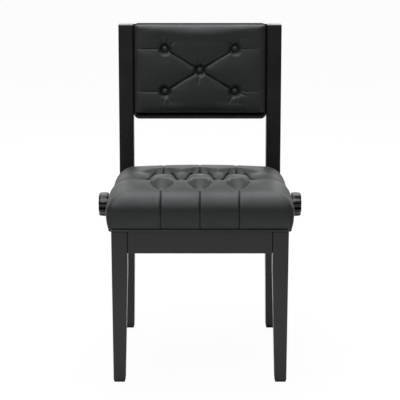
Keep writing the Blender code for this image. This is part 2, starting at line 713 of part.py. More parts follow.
def upper_rails():
    """Two angles under the seat board with a stud for the fixed arm end and a slot for the nut's pins."""
    slot = lift_cutter("nut_pin_slot", SLIDE_X_RAISED - FIT, SLIDE_X + FIT, SPINDLE_Z, NUT_PIN_RADIUS + FIT)
    web = middle_of(UPPER_WEB)
    top = BOARD_BOTTOM - FIT - RAIL_THICKNESS / 2
    for face, word in ((-1, "front"), (1, "back")):
        start = -UPPER_RAIL_LENGTH / 2
        path = [(start, span_y(web - UPPER_RAIL_FLANGE, face), top), (start, span_y(web, face), top),
                (start, span_y(web, face), SPINDLE_Z - UPPER_RAIL_DROP)]
        rail = sheet("upper_rail_" + word, path, (UPPER_RAIL_LENGTH, 0, 0), steel, seat)
        boolean(rail, slot)
        profile = [(0.0, web), (COLLAR_RADIUS, web), (COLLAR_RADIUS, FOLLOW_ARM[0] - FIT),
                   (PIN_RADIUS, FOLLOW_ARM[0] - FIT), (PIN_RADIUS, FOLLOW_ARM[1]), (0.0, FOLLOW_ARM[1])]
        stud_matrix = at(PIVOT_X, SEAT_Y, SPINDLE_Z) @ Matrix.Rotation(-face * math.pi / 2, 4, 'X')
        boolean(rail, cutter("upper_stud_" + word, turned(profile), stud_matrix), 'UNION')


def drive_arms():
    """Pair of arms from the lower pivot rod up to the nut's pins, each with the scissor's centre rivet."""
    far_end = stadium(ARM_LENGTH - NUT_SLACK, ARM_LENGTH + FIT, NUT_PIN_RADIUS + PLAY)
    loops = [stadium(0, ARM_LENGTH, ARM_WIDTH / 2), stadium(0, 0, PIN_RADIUS + FIT), far_end]
    for face, word in ((-1, "front"), (1, "back")):
        pivot = at(PIVOT_X, span_y(middle_of(DRIVE_ARM), face), LOWER_PIVOT_Z)
        stand = pivot @ Matrix.Rotation(-ARM_ANGLE, 4, 'Y')
        flat = stand @ Matrix.Rotation(math.pi / 2, 4, 'X')
        arm = piece("drive_arm_" + word, plate(loops, ARM_THICKNESS), steel, flat, drive)
        rivet = cylinder(PIN_RADIUS, 0.0, FOLLOW_ARM[1] - middle_of(DRIVE_ARM))
        turn = stand @ at(ARM_LENGTH / 2, 0, 0) @ Matrix.Rotation(-face * math.pi / 2, 4, 'X')
        boolean(arm, cutter("centre_rivet_" + word, rivet, turn), 'UNION')


def follow_arms():
    """Pair of arms from the upper rails down to the rod that slides in the lower rails."""
    centre = stadium(ARM_LENGTH / 2, ARM_LENGTH / 2, PIN_RADIUS + ROLL_CLEARANCE)
    loops = [stadium(0, ARM_LENGTH, ARM_WIDTH / 2), stadium(0, 0, PIN_RADIUS + FIT), centre,
             stadium(ARM_LENGTH, ARM_LENGTH, PIN_RADIUS + FIT)]
    tilt = Matrix.Rotation(ARM_ANGLE, 4, 'Y') @ Matrix.Rotation(math.pi / 2, 4, 'X')
    for face, word in ((-1, "front"), (1, "back")):
        stand = at(PIVOT_X, span_y(middle_of(FOLLOW_ARM), face), SPINDLE_Z) @ tilt
        piece("follow_arm_" + word, plate(loops, ARM_THICKNESS), steel, stand, follow)
    stand = along_y(SLIDE_X, SEAT_Y, LOWER_PIVOT_Z)
    piece("slide_rod", turned(cross_rod_profile(False)), steel, stand, follow)


def nut_bar():
    """Cross bar with a threaded boss on the spindle and a pin at each end for the drive arms."""
    shoulder = UPPER_WEB[0] - PLAY
    pin_end = DRIVE_ARM[1]
    half = [(0.0, pin_end), (NUT_PIN_RADIUS, pin_end), (NUT_PIN_RADIUS, shoulder),
            (NUT_BAR_RADIUS, shoulder)]
    profile = half + [(radius, -height) for radius, height in reversed(half)]
    bar = piece("nut_bar", turned(profile), steel, along_y(SLIDE_X, SEAT_Y, SPINDLE_Z), nut)
    axis = along_x(SLIDE_X, SEAT_Y, SPINDLE_Z, 1)
    length = NUT_BOSS_LENGTH / 2
    boolean(bar, cutter("nut_boss", cylinder(NUT_BOSS_RADIUS, -length, length), axis), 'UNION')
    bore = cylinder(SPINDLE_RADIUS + FIT, -length - CUT_THROUGH, length + CUT_THROUGH)
    boolean(bar, cutter("nut_thread", bore, axis))


def spindle():
    """Spindle across the seat box, held by a collar inside each bearing plate."""
    plate_face = SEAT_WIDTH / 2 - SEAT_BOX_WALL - FIT
    collar = plate_face - BEARING_THICKNESS - FIT
    end = knob_start() + KNOB_LENGTH - KNOB_WALL
    half = [(0.0, end), (SPINDLE_RADIUS, end), (SPINDLE_RADIUS, collar), (SPINDLE_COLLAR_RADIUS, collar),
            (SPINDLE_COLLAR_RADIUS, collar - SPINDLE_COLLAR), (SPINDLE_RADIUS, collar - SPINDLE_COLLAR)]
    profile = half + [(radius, -height) for radius, height in reversed(half)]
    piece("spindle", turned(profile), steel, along_x(0, SEAT_Y, SPINDLE_Z, 1), screw)
    width = BEARING_WIDTH / 2
    rise = BEARING_HEIGHT - BEARING_DROP
    for side, word in ((-1, "left"), (1, "right")):
        low, high = side * BEARING_DROP, -side * rise
        outline = [(low, -width), (high, -width), (high, width), (low, width)]
        stand = along_x(side * (plate_face - BEARING_THICKNESS / 2), SEAT_Y, SPINDLE_Z, side)
        bm = plate([outline, stadium(0, 0, SPINDLE_RADIUS + FIT)], BEARING_THICKNESS)
        piece("bearing_plate_" + word, bm, steel, stand, seat)


def knob_start():
    """Distance from the middle of the chair to the inner face of a knob."""
    return CUSHION_WIDTH / 2 + KNOB_GAP


def knob(name, side):
    """Lobed hand knob with a hub on its inner face and a blind hole for the spindle."""
    bm = bmesh.new()
    bmesh.ops.create_circle(bm, cap_ends=True, segments=4 * KNOB_LOBES, radius=KNOB_HUB_RADIUS)
    core = KNOB_RADIUS - KNOB_EDGE
    inner = KNOB_HUB + KNOB_EDGE
    outer = KNOB_LENGTH - KNOB_EDGE
    arc = [(core + KNOB_EDGE * math.sin(turn), KNOB_EDGE * math.cos(turn), math.sin(turn))
           for turn in KNOB_TURNS]
    steps = [(KNOB_HUB_RADIUS, KNOB_HUB, 0.0)]
    steps += [(radius, inner - height, share) for radius, height, share in arc]
    steps += [(radius, outer + height, share) for radius, height, share in reversed(arc)]
    bm.faces.ensure_lookup_table()
    end = bm.faces[0]
    for radius, height, share in steps:
        end = bmesh.ops.extrude_discrete_faces(bm, faces=[end])["faces"][0]
        for vert in end.verts:
            angle = math.atan2(vert.co.y, vert.co.x)
            reach = radius - KNOB_FLUTE * share * (1 - math.cos(KNOB_LOBES * angle)) / 2
            vert.co = Vector((reach * math.cos(angle), reach * math.sin(angle), height))
    bmesh.ops.holes_fill(bm, edges=[edge for edge in bm.edges if edge.is_boundary])
    stand = along_x(side * knob_start(), SEAT_Y, SPINDLE_Z, side)
    obj = piece(name, bm, knob_plastic, stand, screw)
    bore = cylinder(SPINDLE_RADIUS + FIT, -CUT_THROUGH, KNOB_LENGTH - KNOB_WALL + FIT)
    boolean(obj, cutter(name + "_bore", bore, stand))


clear_scene()
chair = new_collection("piano_chair")
cutters = new_collection("cutters")

black_wood = new_material("black_lacquered_wood", (0.024, 0.024, 0.024), 0.42)
raw_wood = new_material("raw_hardwood", (0.42, 0.27, 0.15), 0.7)
leather = new_material("black_leatherette", (0.021, 0.022, 0.022), 0.5)
steel = new_material("zinc_plated_steel", (0.55, 0.55, 0.53), 0.35, 1.0)
knob_plastic = new_material("gloss_black_plastic", (0.01, 0.01, 0.01), 0.18)
glide_plastic = new_material("black_glide_plastic", (0.015, 0.015, 0.015), 0.6)

frame = group("frame", (0, 0, 0))
back = group("back_rest", (0, POST_FRONT_Y, APRON_TOP), -POST_RAKE)
seat = group("seat", (0, SEAT_Y, BOX_BOTTOM))
drive = group("drive_arms", (PIVOT_X, SEAT_Y, LOWER_PIVOT_Z))
follow = group("follow_arms", (PIVOT_X, SEAT_Y, SPINDLE_Z))
nut = group("nut", (SLIDE_X, SEAT_Y, SPINDLE_Z))
screw = group("spindle_and_knobs", (0, SEAT_Y, SPINDLE_Z))

for leg_side, leg_word in ((-1, "left"), (1, "right")):
    front_leg = leg("front_leg_" + leg_word, leg_side, True, FRONT_FOOT)
    back_post = leg("back_post_" + leg_word, leg_side, False, BACK_FOOT)
    foot_glide("foot_glide_front_" + leg_word, leg_side, True, FRONT_FOOT)
    foot_glide("foot_glide_back_" + leg_word, leg_side, False, BACK_FOOT)
    corner("front_" + leg_word, leg_side, True, front_leg)
    corner("back_" + leg_word, leg_side, False, back_post)
aprons()
back_rest()
seat_cushion(seat_box())
lower_rails()
upper_rails()
drive_arms()
follow_arms()
nut_bar()
spindle()
knob("knob_left", -1)
knob("knob_right", 1)
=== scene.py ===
import math

import bmesh
import bpy
import numpy as np
from bpy.props import FloatProperty, FloatVectorProperty, PointerProperty, StringProperty
from mathutils import Matrix, Vector
from mathutils.bvhtree import BVHTree
from mathutils.interpolate import poly_3d_calc


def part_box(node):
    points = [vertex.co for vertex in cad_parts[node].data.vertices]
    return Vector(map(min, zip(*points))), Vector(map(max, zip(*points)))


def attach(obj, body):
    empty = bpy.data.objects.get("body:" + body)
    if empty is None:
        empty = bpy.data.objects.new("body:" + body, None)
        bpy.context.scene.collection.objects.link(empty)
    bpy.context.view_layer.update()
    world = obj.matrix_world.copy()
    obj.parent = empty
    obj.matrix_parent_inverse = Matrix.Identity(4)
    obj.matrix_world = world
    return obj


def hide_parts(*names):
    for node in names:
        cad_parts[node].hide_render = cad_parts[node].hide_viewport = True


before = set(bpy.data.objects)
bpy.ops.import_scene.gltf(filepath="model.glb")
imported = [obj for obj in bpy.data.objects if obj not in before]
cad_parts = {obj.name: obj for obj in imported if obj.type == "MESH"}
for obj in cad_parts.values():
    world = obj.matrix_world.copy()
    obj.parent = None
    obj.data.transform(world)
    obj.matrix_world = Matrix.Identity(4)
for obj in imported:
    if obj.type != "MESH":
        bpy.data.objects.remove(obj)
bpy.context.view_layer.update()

bl_info = {
    "name": "Piano chair dressing",
    "version": (1, 0, 0),
    "blender": (4, 5, 0),
    "location": "3D View > Sidebar > Piano chair",
    "description": "Buttoned leatherette, black lacquer, fluted knobs and a white studio for the piano chair",
    "category": "Object",
}

# Lengths are in metres; FIT is the gap between the seat's cover and the board in it
MM = 0.001
FIT = 0.0003

# Real sizes of the patterns in the materials
EMBOSS_WANDER = 3.8 * MM
EMBOSS_SHIFT = 0.9 * MM
WEAR_MOTTLE = 45 * MM
WOOD_GRAIN = 1.1 * MM
ORANGE_PEEL = 1.4 * MM
LACQUER_CLOUD = 70 * MM
GROWTH_RING = 8 * MM
WOOD_PORE = 0.7 * MM
ZINC_BLOOM = 6 * MM
ZINC_CLOUD = 22 * MM
FLOW_MARK = 11 * MM
TOOL_TEXTURE = 0.7 * MM

# How much wood patterns are drawn out along the grain, and share of a pebble's edge that slopes
LACQUER_STRETCH = 0.06
HARDWOOD_STRETCH = 0.08
PEBBLE_SLOPE = 0.28

# How a hollow round a button falls away: powers across it, along it and of its depth
ROUND = (3.0, 2.0, 1.5)
RAMP = (2.2, 1.2, 1.0)
SOFT = (2.0, 1.4, 1.3)
DIMPLE = (2.0, 2.0, 2.2)

# Creases as depth, reach to the front and reach to the back, each at the crease's start and at its end
PLEAT = ((0.0023, 0.0023), (0.004, 0.004), (0.004, 0.004))
FRONT_SEAM = ((0.003, 0.003), (0.007, 0.007), (0.007, 0.007))
REAR_TUCK = ((0.026, 0.003), (0.005, 0.005), (0.005, 0.005))
WRINKLE = ((0.0090, 0.0), (0.006, 0.004), (0.006, 0.004))

# Reach to the front and to the back of the creases whose depth follows the settings
MIDDLE_FOLD = ((0.035, 0.040), (0.045, 0.040))
REAR_FOLD = ((0.030, 0.040), (0.022, 0.040))
FRONT_FOLD = ((0.085, 0.040), (0.045, 0.035))
SIDE_FOLD = ((0.040, 0.040), (0.060, 0.060))
BACK_FOLD = ((0.014, 0.014), (0.014, 0.014))
BACK_PLEAT = ((0.026, 0.020), (0.004, 0.004))

# Depths and lengths of the seat's creases, its corner seams, how far a crease runs past an edge, and how many pitches
# apart neighbouring buttons are at most
REAR_FOLD_START = 0.008
FRONT_FOLD_END = 0.004
SIDE_FOLD_END = 0.010
REAR_TUCK_LENGTH = 0.046
CORNER_SEAM_X = 0.2290
CORNER_SEAM_START = 0.030
PAST_EDGE = 0.02
NEIGHBOUR = 1.1

# Padding of the seat: rolled edges, corner powers, fall behind the front buttons, rounded nose, hem and welt
SEAT_ROLLS = ((0.06, 0.06), (0.05, 0.05))
SEAT_CORNERS = (6.0, 3.0)
SEAT_SHOULDER = 0.0055
SEAT_SHOULDER_FALL = 0.035
SEAT_FALL_START = -0.087
SEAT_FALL_LENGTH = 0.213
SEAT_ARCH = 0.0050
SEAT_ARCH_HALF = 0.1755
SEAT_NOSE = 0.004
SEAT_NOSE_LENGTH = 0.070
SEAT_TUCK = 0.007
SEAT_SQUARE = 0.9
SEAT_SWELL = 0.006
WELT_INSET = (0.0090, 0.0045)
WELT_RADIUS = 0.0023
WELT_CORNER = 0.006
WELT_DROP = 0.0020

# Hollows of the seat's buttons as half width, half length, form and, where it isn't the tuft's, depth
OVAL = (0.0325, 0.061, RAMP, 0.020)
OVAL_SET_BACK = 0.005
WELL = (0.0180, 0.018, ROUND)
REAR_DIP = (0.0640, 0.040, SOFT, 0.018)
REAR_DIP_SET_BACK = 0.006
REAR_WELL = (0.0115, 0.0115, ROUND)

# Scallops of the seat's folds: share of a pillow that bends, form of the bend and where it has faded
SCALLOP_SPAN = 0.6
SCALLOP_POWER = 1.3
SCALLOP_FADE = 0.080

# Padding of the back, its creases, and its edging rings as inset, radius and height
BACK_HALF_HEIGHT = 0.12855
BACK_COVER_INSET = (0.005, 0.009)
BACK_COVER_LIFT = 0.003
BACK_ROLLS = ((0.017, 0.017), (0.022, 0.010))
BACK_CORNERS = (6.0, 6.0)
BACK_SHOULDER = 0.021
BACK_CROWN = 0.029
BACK_TUCK = 0.003
BACK_SWELL = 0.005
BACK_WELL = (0.0230, 0.0230, DIMPLE)
BACK_FOLD_START = 0.0062
LEFT_PLEAT_DEPTH = (0.0032, 0.0018)
RIGHT_PLEAT_DEPTH = (0.0026, 0.0003)
WRINKLE_LENGTH = 0.040
WRINKLE_ANGLES = ((68, 100, 262), (38, 68, 112), (62, 95, 132), (-62, -98), (-118, -75, -20))
BORDER = (0.0065, 0.0065, 0.0075)
PIPING = (0.0050, 0.0016, 0.0150)
EDGING_GROWTH = 0.0025
EDGING_DROP = 0.0035
EDGING_CORNER = 0.008
BUTTON_DOME = 0.0036
BUTTON_SIDES = 32

# Slit along a crease, power that blends creases, power of a pad's corners near its top, and how a crease's sides part
SLIT_SHARE = 0.60
SLIT_FULL_DEPTH = 0.010
SLIT_HALF = 0.005
BLEND = 6
TOP_CORNER = 2.3
SIDE_BLEND = 1.2

# Grid of each cover as cells between buttons, lines down a rolled edge and rows down a wall, and other mesh values
FINE_SEAT, COARSE_SEAT = (24, 22, 14), (10, 7, 5)
FINE_BACK, COARSE_BACK = (40, 12, 6), (12, 5, 3)
GRID_REACH = 400
CORNER_STEPS = 6
CORD_SIDES = 12
ON_CREASE = 1e-6
TINY = 1e-9

# What the cloth simulation holds still, how long it runs and how its movement is evened out
HELD_BESIDE_CREASE = 0.0015
SEAT_HELD_HEM, SEAT_HELD_BOWL = 0.002, 0.5
BACK_HELD_HEM, BACK_HELD_BOWL = 0.006, 0.4
SIMULATED_FRAMES = 20
EVENING_ROUNDS = 20

# Hand knob: flutes, rounded ends, barrel, and steps of its ends as way in, way back and share of the flutes
FLUTES = 8
FLUTE_DEPTH = 0.0030
FLUTE_POWER = 1.6
KNOB_SIDES = 128
KNOB_ROUND_STEPS = 8
KNOB_INNER_ROUND, KNOB_OUTER_ROUND = 0.0030, 0.0060
KNOB_BARREL = 0.0006
KNOB_BARREL_RINGS = (0.2, 0.4, 0.6, 0.8)
KNOB_INNER_STEPS = ((0.009, 0.0, 0.0), (0.006, 0.0, 0.4))
KNOB_DISH_STEPS = ((0.0090, 0.0, 0.5), (0.0110, 0.0003, 0.0), (0.0125, 0.0012, 0.0), (0.0200, 0.0015, 0.0))

# Studio: width of the camera's frame in millimetres, floor and its glow for the camera, fill from the surround,
# screens as place, turn and half width, and softboxes as name, place, target, size and watts
CAMERA_FRAME = 36.0
FLOOR_RADIUS = 9.0
FLOOR_SIDES = 64
FLOOR_GLOW = 0.95
SURROUND_FILL = 0.44
SCREEN_HALF_HEIGHT = 1.6
SCREENS = (((0, -5.6, 1.6), 0.0, 5.0), ((-2.6, -2.0, 1.6), math.pi / 2, 2.6), ((2.6, -2.0, 1.6), math.pi / 2, 2.6))
SOFTBOXES = (("key_softbox", (-0.9, -1.6, 2.9), (0, 0, 0.45), 2.2, 50),
             ("top_softbox", (0.0, 0.6, 3.0), (0, 0, 0.4), 2.4, 70),
             ("rear_softbox", (0.0, 2.4, 1.9), (0, 0, 0.5), 2.4, 24))


def middle(node):
    """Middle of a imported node's box."""
    low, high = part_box(node)
    return (low + high) / 2


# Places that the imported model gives
SEAT_LOW, SEAT_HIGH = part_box("seat_cushion")
BOARD_LOW, BOARD_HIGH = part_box("seat_board")
SEAT_BUTTONS = [middle(f"seat_button_{number}") for number in range(1, 11)]
BACK_BUTTONS = [middle(f"back_button_{number}") for number in range(1, 6)]
SEAT_PLACE = Matrix.Translation((0, (SEAT_LOW.y + SEAT_HIGH.y) / 2, BOARD_HIGH.z + FIT))
SEAT_HALF = ((SEAT_HIGH.x - SEAT_LOW.x) / 2, (SEAT_HIGH.y - SEAT_LOW.y) / 2)
SEAT_BOX = ((BOARD_HIGH.x - BOARD_LOW.x) / 2 + FIT, (BOARD_HIGH.y - BOARD_LOW.y) / 2 + FIT)
SEAT_HEM = SEAT_LOW.z - SEAT_PLACE.translation.z
BACK_UP = (BACK_BUTTONS[1] - BACK_BUTTONS[3]).normalized()
BACK_OUT = Vector((1, 0, 0)).cross(BACK_UP)
BACK_BUTTON_RISE = 0.0203
BACK_PLACE = Matrix.Translation(BACK_BUTTONS[0] - BACK_OUT * BACK_BUTTON_RISE) @ Matrix(
    ((1, BACK_UP.x, BACK_OUT.x), (0, BACK_UP.y, BACK_OUT.y), (0, BACK_UP.z, BACK_OUT.z))).to_4x4()


def hex_colour(name, description, default):
    """Setting that holds a colour as an sRGB hex value."""
    return StringProperty(name=name, description=description, default=default)


def metres(name, description, default):
    """Setting that holds a length."""
    return FloatProperty(name=name, description=description, default=default, unit='LENGTH')


class UpholsterySettings(bpy.types.PropertyGroup):
    """Sizes and colours of the leatherette pieces."""

    colour: hex_colour("Colour", "Leatherette colour on its pebbles", "#131414")
    deep_colour: hex_colour("Deep colour", "Leatherette colour between the pebbles", "#0b0c0c")
    sheen: hex_colour("Sheen", "Tint of the leatherette's sheen", "#f7fdff")
    # The edging colour is darker than the leatherette: painted shade for the back pad's downward-facing border
    edging_shade: hex_colour("Edging", "Colour of the moulded edging round the back pad", "#050505")
    pebble: metres("Pebble", "Size of one pebble of the embossed grain", 1.3 * MM)
    seat_crown: metres("Seat crown", "Height of the front pillows over the seat board", 0.0555)
    seat_fall: metres("Seat fall", "How much lower the rear pillows lie", 0.0120)
    seat_tuft: metres("Seat tuft", "Depth of the seat under a button", 0.0280)
    seat_fold: metres("Seat fold", "Depth of the folds halfway between seat buttons", 0.0210)
    back_tuft: metres("Back tuft", "Depth of the back under a button", 0.0155)
    back_fold: metres("Back fold", "Depth of the folds between the back's buttons", 0.0038)
    button: metres("Button", "Radius of a covered button", 0.0085)
    pressure: FloatProperty(
        name="Pressure", description="Inner pressure that swells the pads in the cloth simulation", default=4.0)
    tension: FloatProperty(
        name="Tension", description="Stiffness of the covers in the cloth simulation", default=15.0)


class FrameSettings(bpy.types.PropertyGroup):
    """Colours of the wood, metal and plastic, and the length of the knobs."""

    lacquer: hex_colour("Lacquer", "Black lacquer of the wood", "#0d0d0d")
    hardwood: hex_colour("Hardwood", "Bare wood of the blocks and the seat board", "#b48a5c")
    zinc: hex_colour("Zinc", "Bright zinc of the lift", "#c3c6c8")
    knob: hex_colour("Knob", "Gloss plastic of the hand knobs", "#060607")
    knob_length: metres("Knob length", "Length of a hand knob", 0.0255)
    glide: hex_colour("Glide", "Plastic of the glides under the legs", "#1b1b1c")


class StageSettings(bpy.types.PropertyGroup):
    """Camera, floor and screens."""

    lens: FloatProperty(name="Lens", description="Focal length on a 36 mm frame, in millimetres", default=120.57)
    camera: FloatVectorProperty(
        name="Camera", description="Place of the camera", default=(0.0, -3.4330, 1.3557), subtype='TRANSLATION')
    tilt: FloatProperty(
        name="Tilt", description="How far the camera looks down", default=math.radians(15.157), subtype='ANGLE')
    floor: hex_colour("Floor", "Floor colour", "#f2f2f2")
    screen: hex_colour("Screen", "Colour of the dark screens round the camera", "#3c3c3c")


def linear(value):
    """Linear colour of an sRGB hex value."""
    channels = [int(value[index:index + 2], 16) / 255 for index in (1, 3, 5)]
    return (*[c / 12.92 if c <= 0.04045 else ((c + 0.055) / 1.055) ** 2.4 for c in channels], 1.0)


def darker(value, share):
    """Linear colour of an sRGB hex value, darkened to a share of it."""
    return [channel * share for channel in linear(value)[:3]] + [1.0]


def add_node(tree, kind, inputs=None, **settings):
    """Add a shader node with its settings; each input takes a value or another node's output."""
    node = tree.nodes.new(kind)
    for name, value in settings.items():
        setattr(node, name, value)
    for name, value in (inputs or {}).items():
        if isinstance(value, bpy.types.NodeSocket):
            tree.links.new(value, node.inputs[name])
        else:
            node.inputs[name].default_value = value
    return node


def new_material(name):
    """Empty node material, its tree and the place on the object that its patterns read."""
    material = bpy.data.materials.new(name)
    material.use_nodes = True
    material.node_tree.nodes.clear()
    place = add_node(material.node_tree, 'ShaderNodeTexCoord').outputs["Object"]
    return material, material.node_tree, place


def finish_material(material, shader):
    """Send a shader to the material's output."""
    add_node(material.node_tree, 'ShaderNodeOutputMaterial', {"Surface": shader.outputs[0]})
    return material


def principled(material, inputs):
    """Finish a material with one principled shader."""
    return finish_material(material, add_node(material.node_tree, 'ShaderNodeBsdfPrincipled', inputs))


def noise(tree, place, size, detail, distortion=0.0, output="Fac"):
    """Soft random pattern of a real size."""
    return add_node(tree, 'ShaderNodeTexNoise', {"Vector": place, "Scale": 1 / size, "Detail": detail,
                                                 "Distortion": distortion}).outputs[output]


def spread(tree, value, source=(0.0, 1.0), target=(0.0, 1.0)):
    """Carry a value from one range to another."""
    names = ("From Min", "From Max", "To Min", "To Max")
    return add_node(tree, 'ShaderNodeMapRange', {"Value": value, **dict(zip(names, source + target))}).outputs[0]


def mix(tree, share, first, second):
    """Colour between two others."""
    return add_node(tree, 'ShaderNodeMix', {0: share, 6: first, 7: second}, data_type='RGBA').outputs[2]


def bump(tree, height, strength, distance):
    """Normals of a fine relief."""
    return add_node(tree, 'ShaderNodeBump', {"Height": height, "Strength": strength, "Distance": distance}).outputs[0]


def seen_apart(tree, share, others, seen):
    """Shader that the camera sees as another one by a share."""
    camera = add_node(tree, 'ShaderNodeLightPath').outputs["Is Camera Ray"]
    part = add_node(tree, 'ShaderNodeMath', {0: camera, 1: share}, operation='MULTIPLY')
    return add_node(tree, 'ShaderNodeMixShader', {0: part.outputs[0], 1: others.outputs[0], 2: seen.outputs[0]})


def leatherette(settings):
    """Black polyurethane leatherette, calendered on cloth: a soft low sheen over a fine embossed pebble."""
    if "black_leatherette" in bpy.data.materials:
        return bpy.data.materials["black_leatherette"]
    material, tree, place = new_material("black_leatherette")
    warp = noise(tree, place, EMBOSS_WANDER, 2.0, output="Color")
    shift = add_node(tree, 'ShaderNodeVectorMath', {0: warp, 1: (EMBOSS_SHIFT,) * 3}, operation='MULTIPLY')
    bent = add_node(tree, 'ShaderNodeVectorMath', {0: place, 1: shift.outputs[0]}, operation='ADD')
    pebble = add_node(tree, 'ShaderNodeTexVoronoi', {"Vector": bent.outputs[0], "Scale": 1 / settings.pebble},
                      feature='DISTANCE_TO_EDGE')
    dome = add_node(tree, 'ShaderNodeMapRange', {"Value": pebble.outputs["Distance"], "From Max": PEBBLE_SLOPE},
                    interpolation_type='SMOOTHSTEP').outputs[0]
    mottle = noise(tree, place, WEAR_MOTTLE, 4.0)
    tone = add_node(tree, 'ShaderNodeMath', {0: dome, 1: mottle}, operation='MULTIPLY')
    share = spread(tree, tone.outputs[0], (0.05, 0.6))
    return principled(material, {
        "Base Color": mix(tree, share, linear(settings.deep_colour), linear(settings.colour)),
        "Roughness": spread(tree, mottle, (0.3, 0.7), (0.50, 0.58)), "Normal": bump(tree, dome, 0.25, 0.12 * MM),
        "IOR": 1.5, "Specular Tint": linear(settings.sheen)})


def black_lacquer(settings, name, stretch):
    """Beech sprayed with black satin lacquer: an even soft gloss with a trace of grain and of orange peel."""
    material, tree, place = new_material("black_lacquered_beech_" + name)
    along = add_node(tree, 'ShaderNodeMapping', {"Vector": place, "Scale": stretch}).outputs[0]
    grain = noise(tree, along, WOOD_GRAIN, 3.0)
    peel = noise(tree, place, ORANGE_PEEL, 1.0)
    cloud = noise(tree, place, LACQUER_CLOUD, 3.0)
    height = add_node(tree, 'ShaderNodeMath', {0: grain, 1: peel}, operation='ADD').outputs[0]
    return principled(material, {
        "Base Color": mix(tree, grain, darker(settings.lacquer, 0.8), linear(settings.lacquer)),
        "Roughness": spread(tree, cloud, (0.3, 0.7), (0.33, 0.40)), "Normal": bump(tree, height, 0.12, 0.08 * MM),
        "IOR": 1.5})


def bare_hardwood(settings):
    """Planed hardwood, unfinished: dull, with darker growth rings and fine pores along the grain."""
    material, tree, place = new_material("planed_hardwood")
    along = add_node(tree, 'ShaderNodeMapping', {"Vector": place, "Scale": (HARDWOOD_STRETCH, 1.0, 1.0)}).outputs[0]
    ring = noise(tree, along, GROWTH_RING, 4.0, distortion=0.6)
    pore = noise(tree, along, WOOD_PORE, 2.0)
    share = spread(tree, ring, (0.35, 0.65))
    return principled(material, {
        "Base Color": mix(tree, share, darker(settings.hardwood, 0.62), linear(settings.hardwood)),
        "Roughness": 0.7, "Normal": bump(tree, pore, 0.3, 0.2 * MM)})


def zinc_steel(settings):
    """Pressed steel with bright zinc plating: a soft metal gloss with a faint crystal bloom."""
    material, tree, place = new_material("zinc_plated_steel")
    bloom = add_node(tree, 'ShaderNodeTexVoronoi', {"Vector": place, "Scale": 1 / ZINC_BLOOM})
    cloud = noise(tree, place, ZINC_CLOUD, 4.0)
    return principled(material, {
        "Base Color": mix(tree, cloud, darker(settings.zinc, 0.78), linear(settings.zinc)), "Metallic": 1.0,
        "Roughness": spread(tree, bloom.outputs["Distance"], target=(0.28, 0.42))})


def moulded_plastic(name, colour, smooth, coarse, ior):
    """Injection-moulded black plastic: hard gloss or dull according to its tool, with faint flow marks."""
    material, tree, place = new_material(name)
    flow = noise(tree, place, FLOW_MARK, 3.0)
    fine = noise(tree, place, TOOL_TEXTURE, 1.0)
    return principled(material, {
        "Base Color": mix(tree, flow, darker(colour, 0.75), linear(colour)),
        "Roughness": spread(tree, flow, target=(smooth, coarse)), "Normal": bump(tree, fine, 0.06, 0.05 * MM),
        "IOR": ior})


def new_object(name, bm, material):
    """Object from a bmesh in its place."""
    mesh = bpy.data.meshes.new(name)
    bm.to_mesh(mesh)
    bm.free()
    mesh.materials.append(material)
    obj = bpy.data.objects.new(name, mesh)
    bpy.context.scene.collection.objects.link(obj)
    return obj


def new_piece(name, bm, material, body):
    """Smooth piece of the chair, which rides on a body and takes its finish from a slot."""
    bmesh.ops.recalc_face_normals(bm, faces=bm.faces)
    for face in bm.faces:
        face.smooth = True
    obj = new_object(name, bm, material)
    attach(obj, body)
    return obj


def dress(nodes, material):
    """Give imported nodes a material."""
    for node in nodes:
        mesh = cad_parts[node].data
        mesh.materials.clear()
        mesh.materials.append(material)


def blow_up(bm, held, settings, cap):
    """Points of a closed skin before a short cloth simulation with inner pressure, and how far each one moves."""
    scene = bpy.context.scene
    mesh = bpy.data.meshes.new("cloth")
    bm.to_mesh(mesh)
    cover = bpy.data.objects.new("cloth", mesh)
    scene.collection.objects.link(cover)
    group = cover.vertex_groups.new(name="held")
    group.add([int(index) for index in np.flatnonzero(held)], 1.0, 'REPLACE')
    cloth = cover.modifiers.new("cloth", 'CLOTH')
    cloth.settings.vertex_group_mass = group.name
    cloth.settings.use_pressure = True
    cloth.settings.uniform_pressure_force = settings.pressure
    cloth.settings.tension_stiffness = settings.tension
    cloth.settings.compression_stiffness = settings.tension
    cloth.settings.shear_stiffness = settings.tension / 3
    cloth.settings.effector_weights.gravity = 0.0
    cloth.point_cache.frame_start = 1
    cloth.point_cache.frame_end = SIMULATED_FRAMES
    for number in range(1, SIMULATED_FRAMES + 1):
        scene.frame_set(number)
    swollen = cover.evaluated_get(bpy.context.evaluated_depsgraph_get()).to_mesh()
    before, after = np.empty(3 * len(mesh.vertices)), np.empty(3 * len(mesh.vertices))
    mesh.vertices.foreach_get("co", before)
    swollen.vertices.foreach_get("co", after)
    scene.frame_set(1)
    bpy.data.objects.remove(cover)
    bpy.data.meshes.remove(mesh)
    move = (after - before).reshape(-1, 3)
    length = np.linalg.norm(move, axis=1)
    return before.reshape(-1, 3), move * np.minimum(1, cap / np.maximum(length, TINY))[:, None]


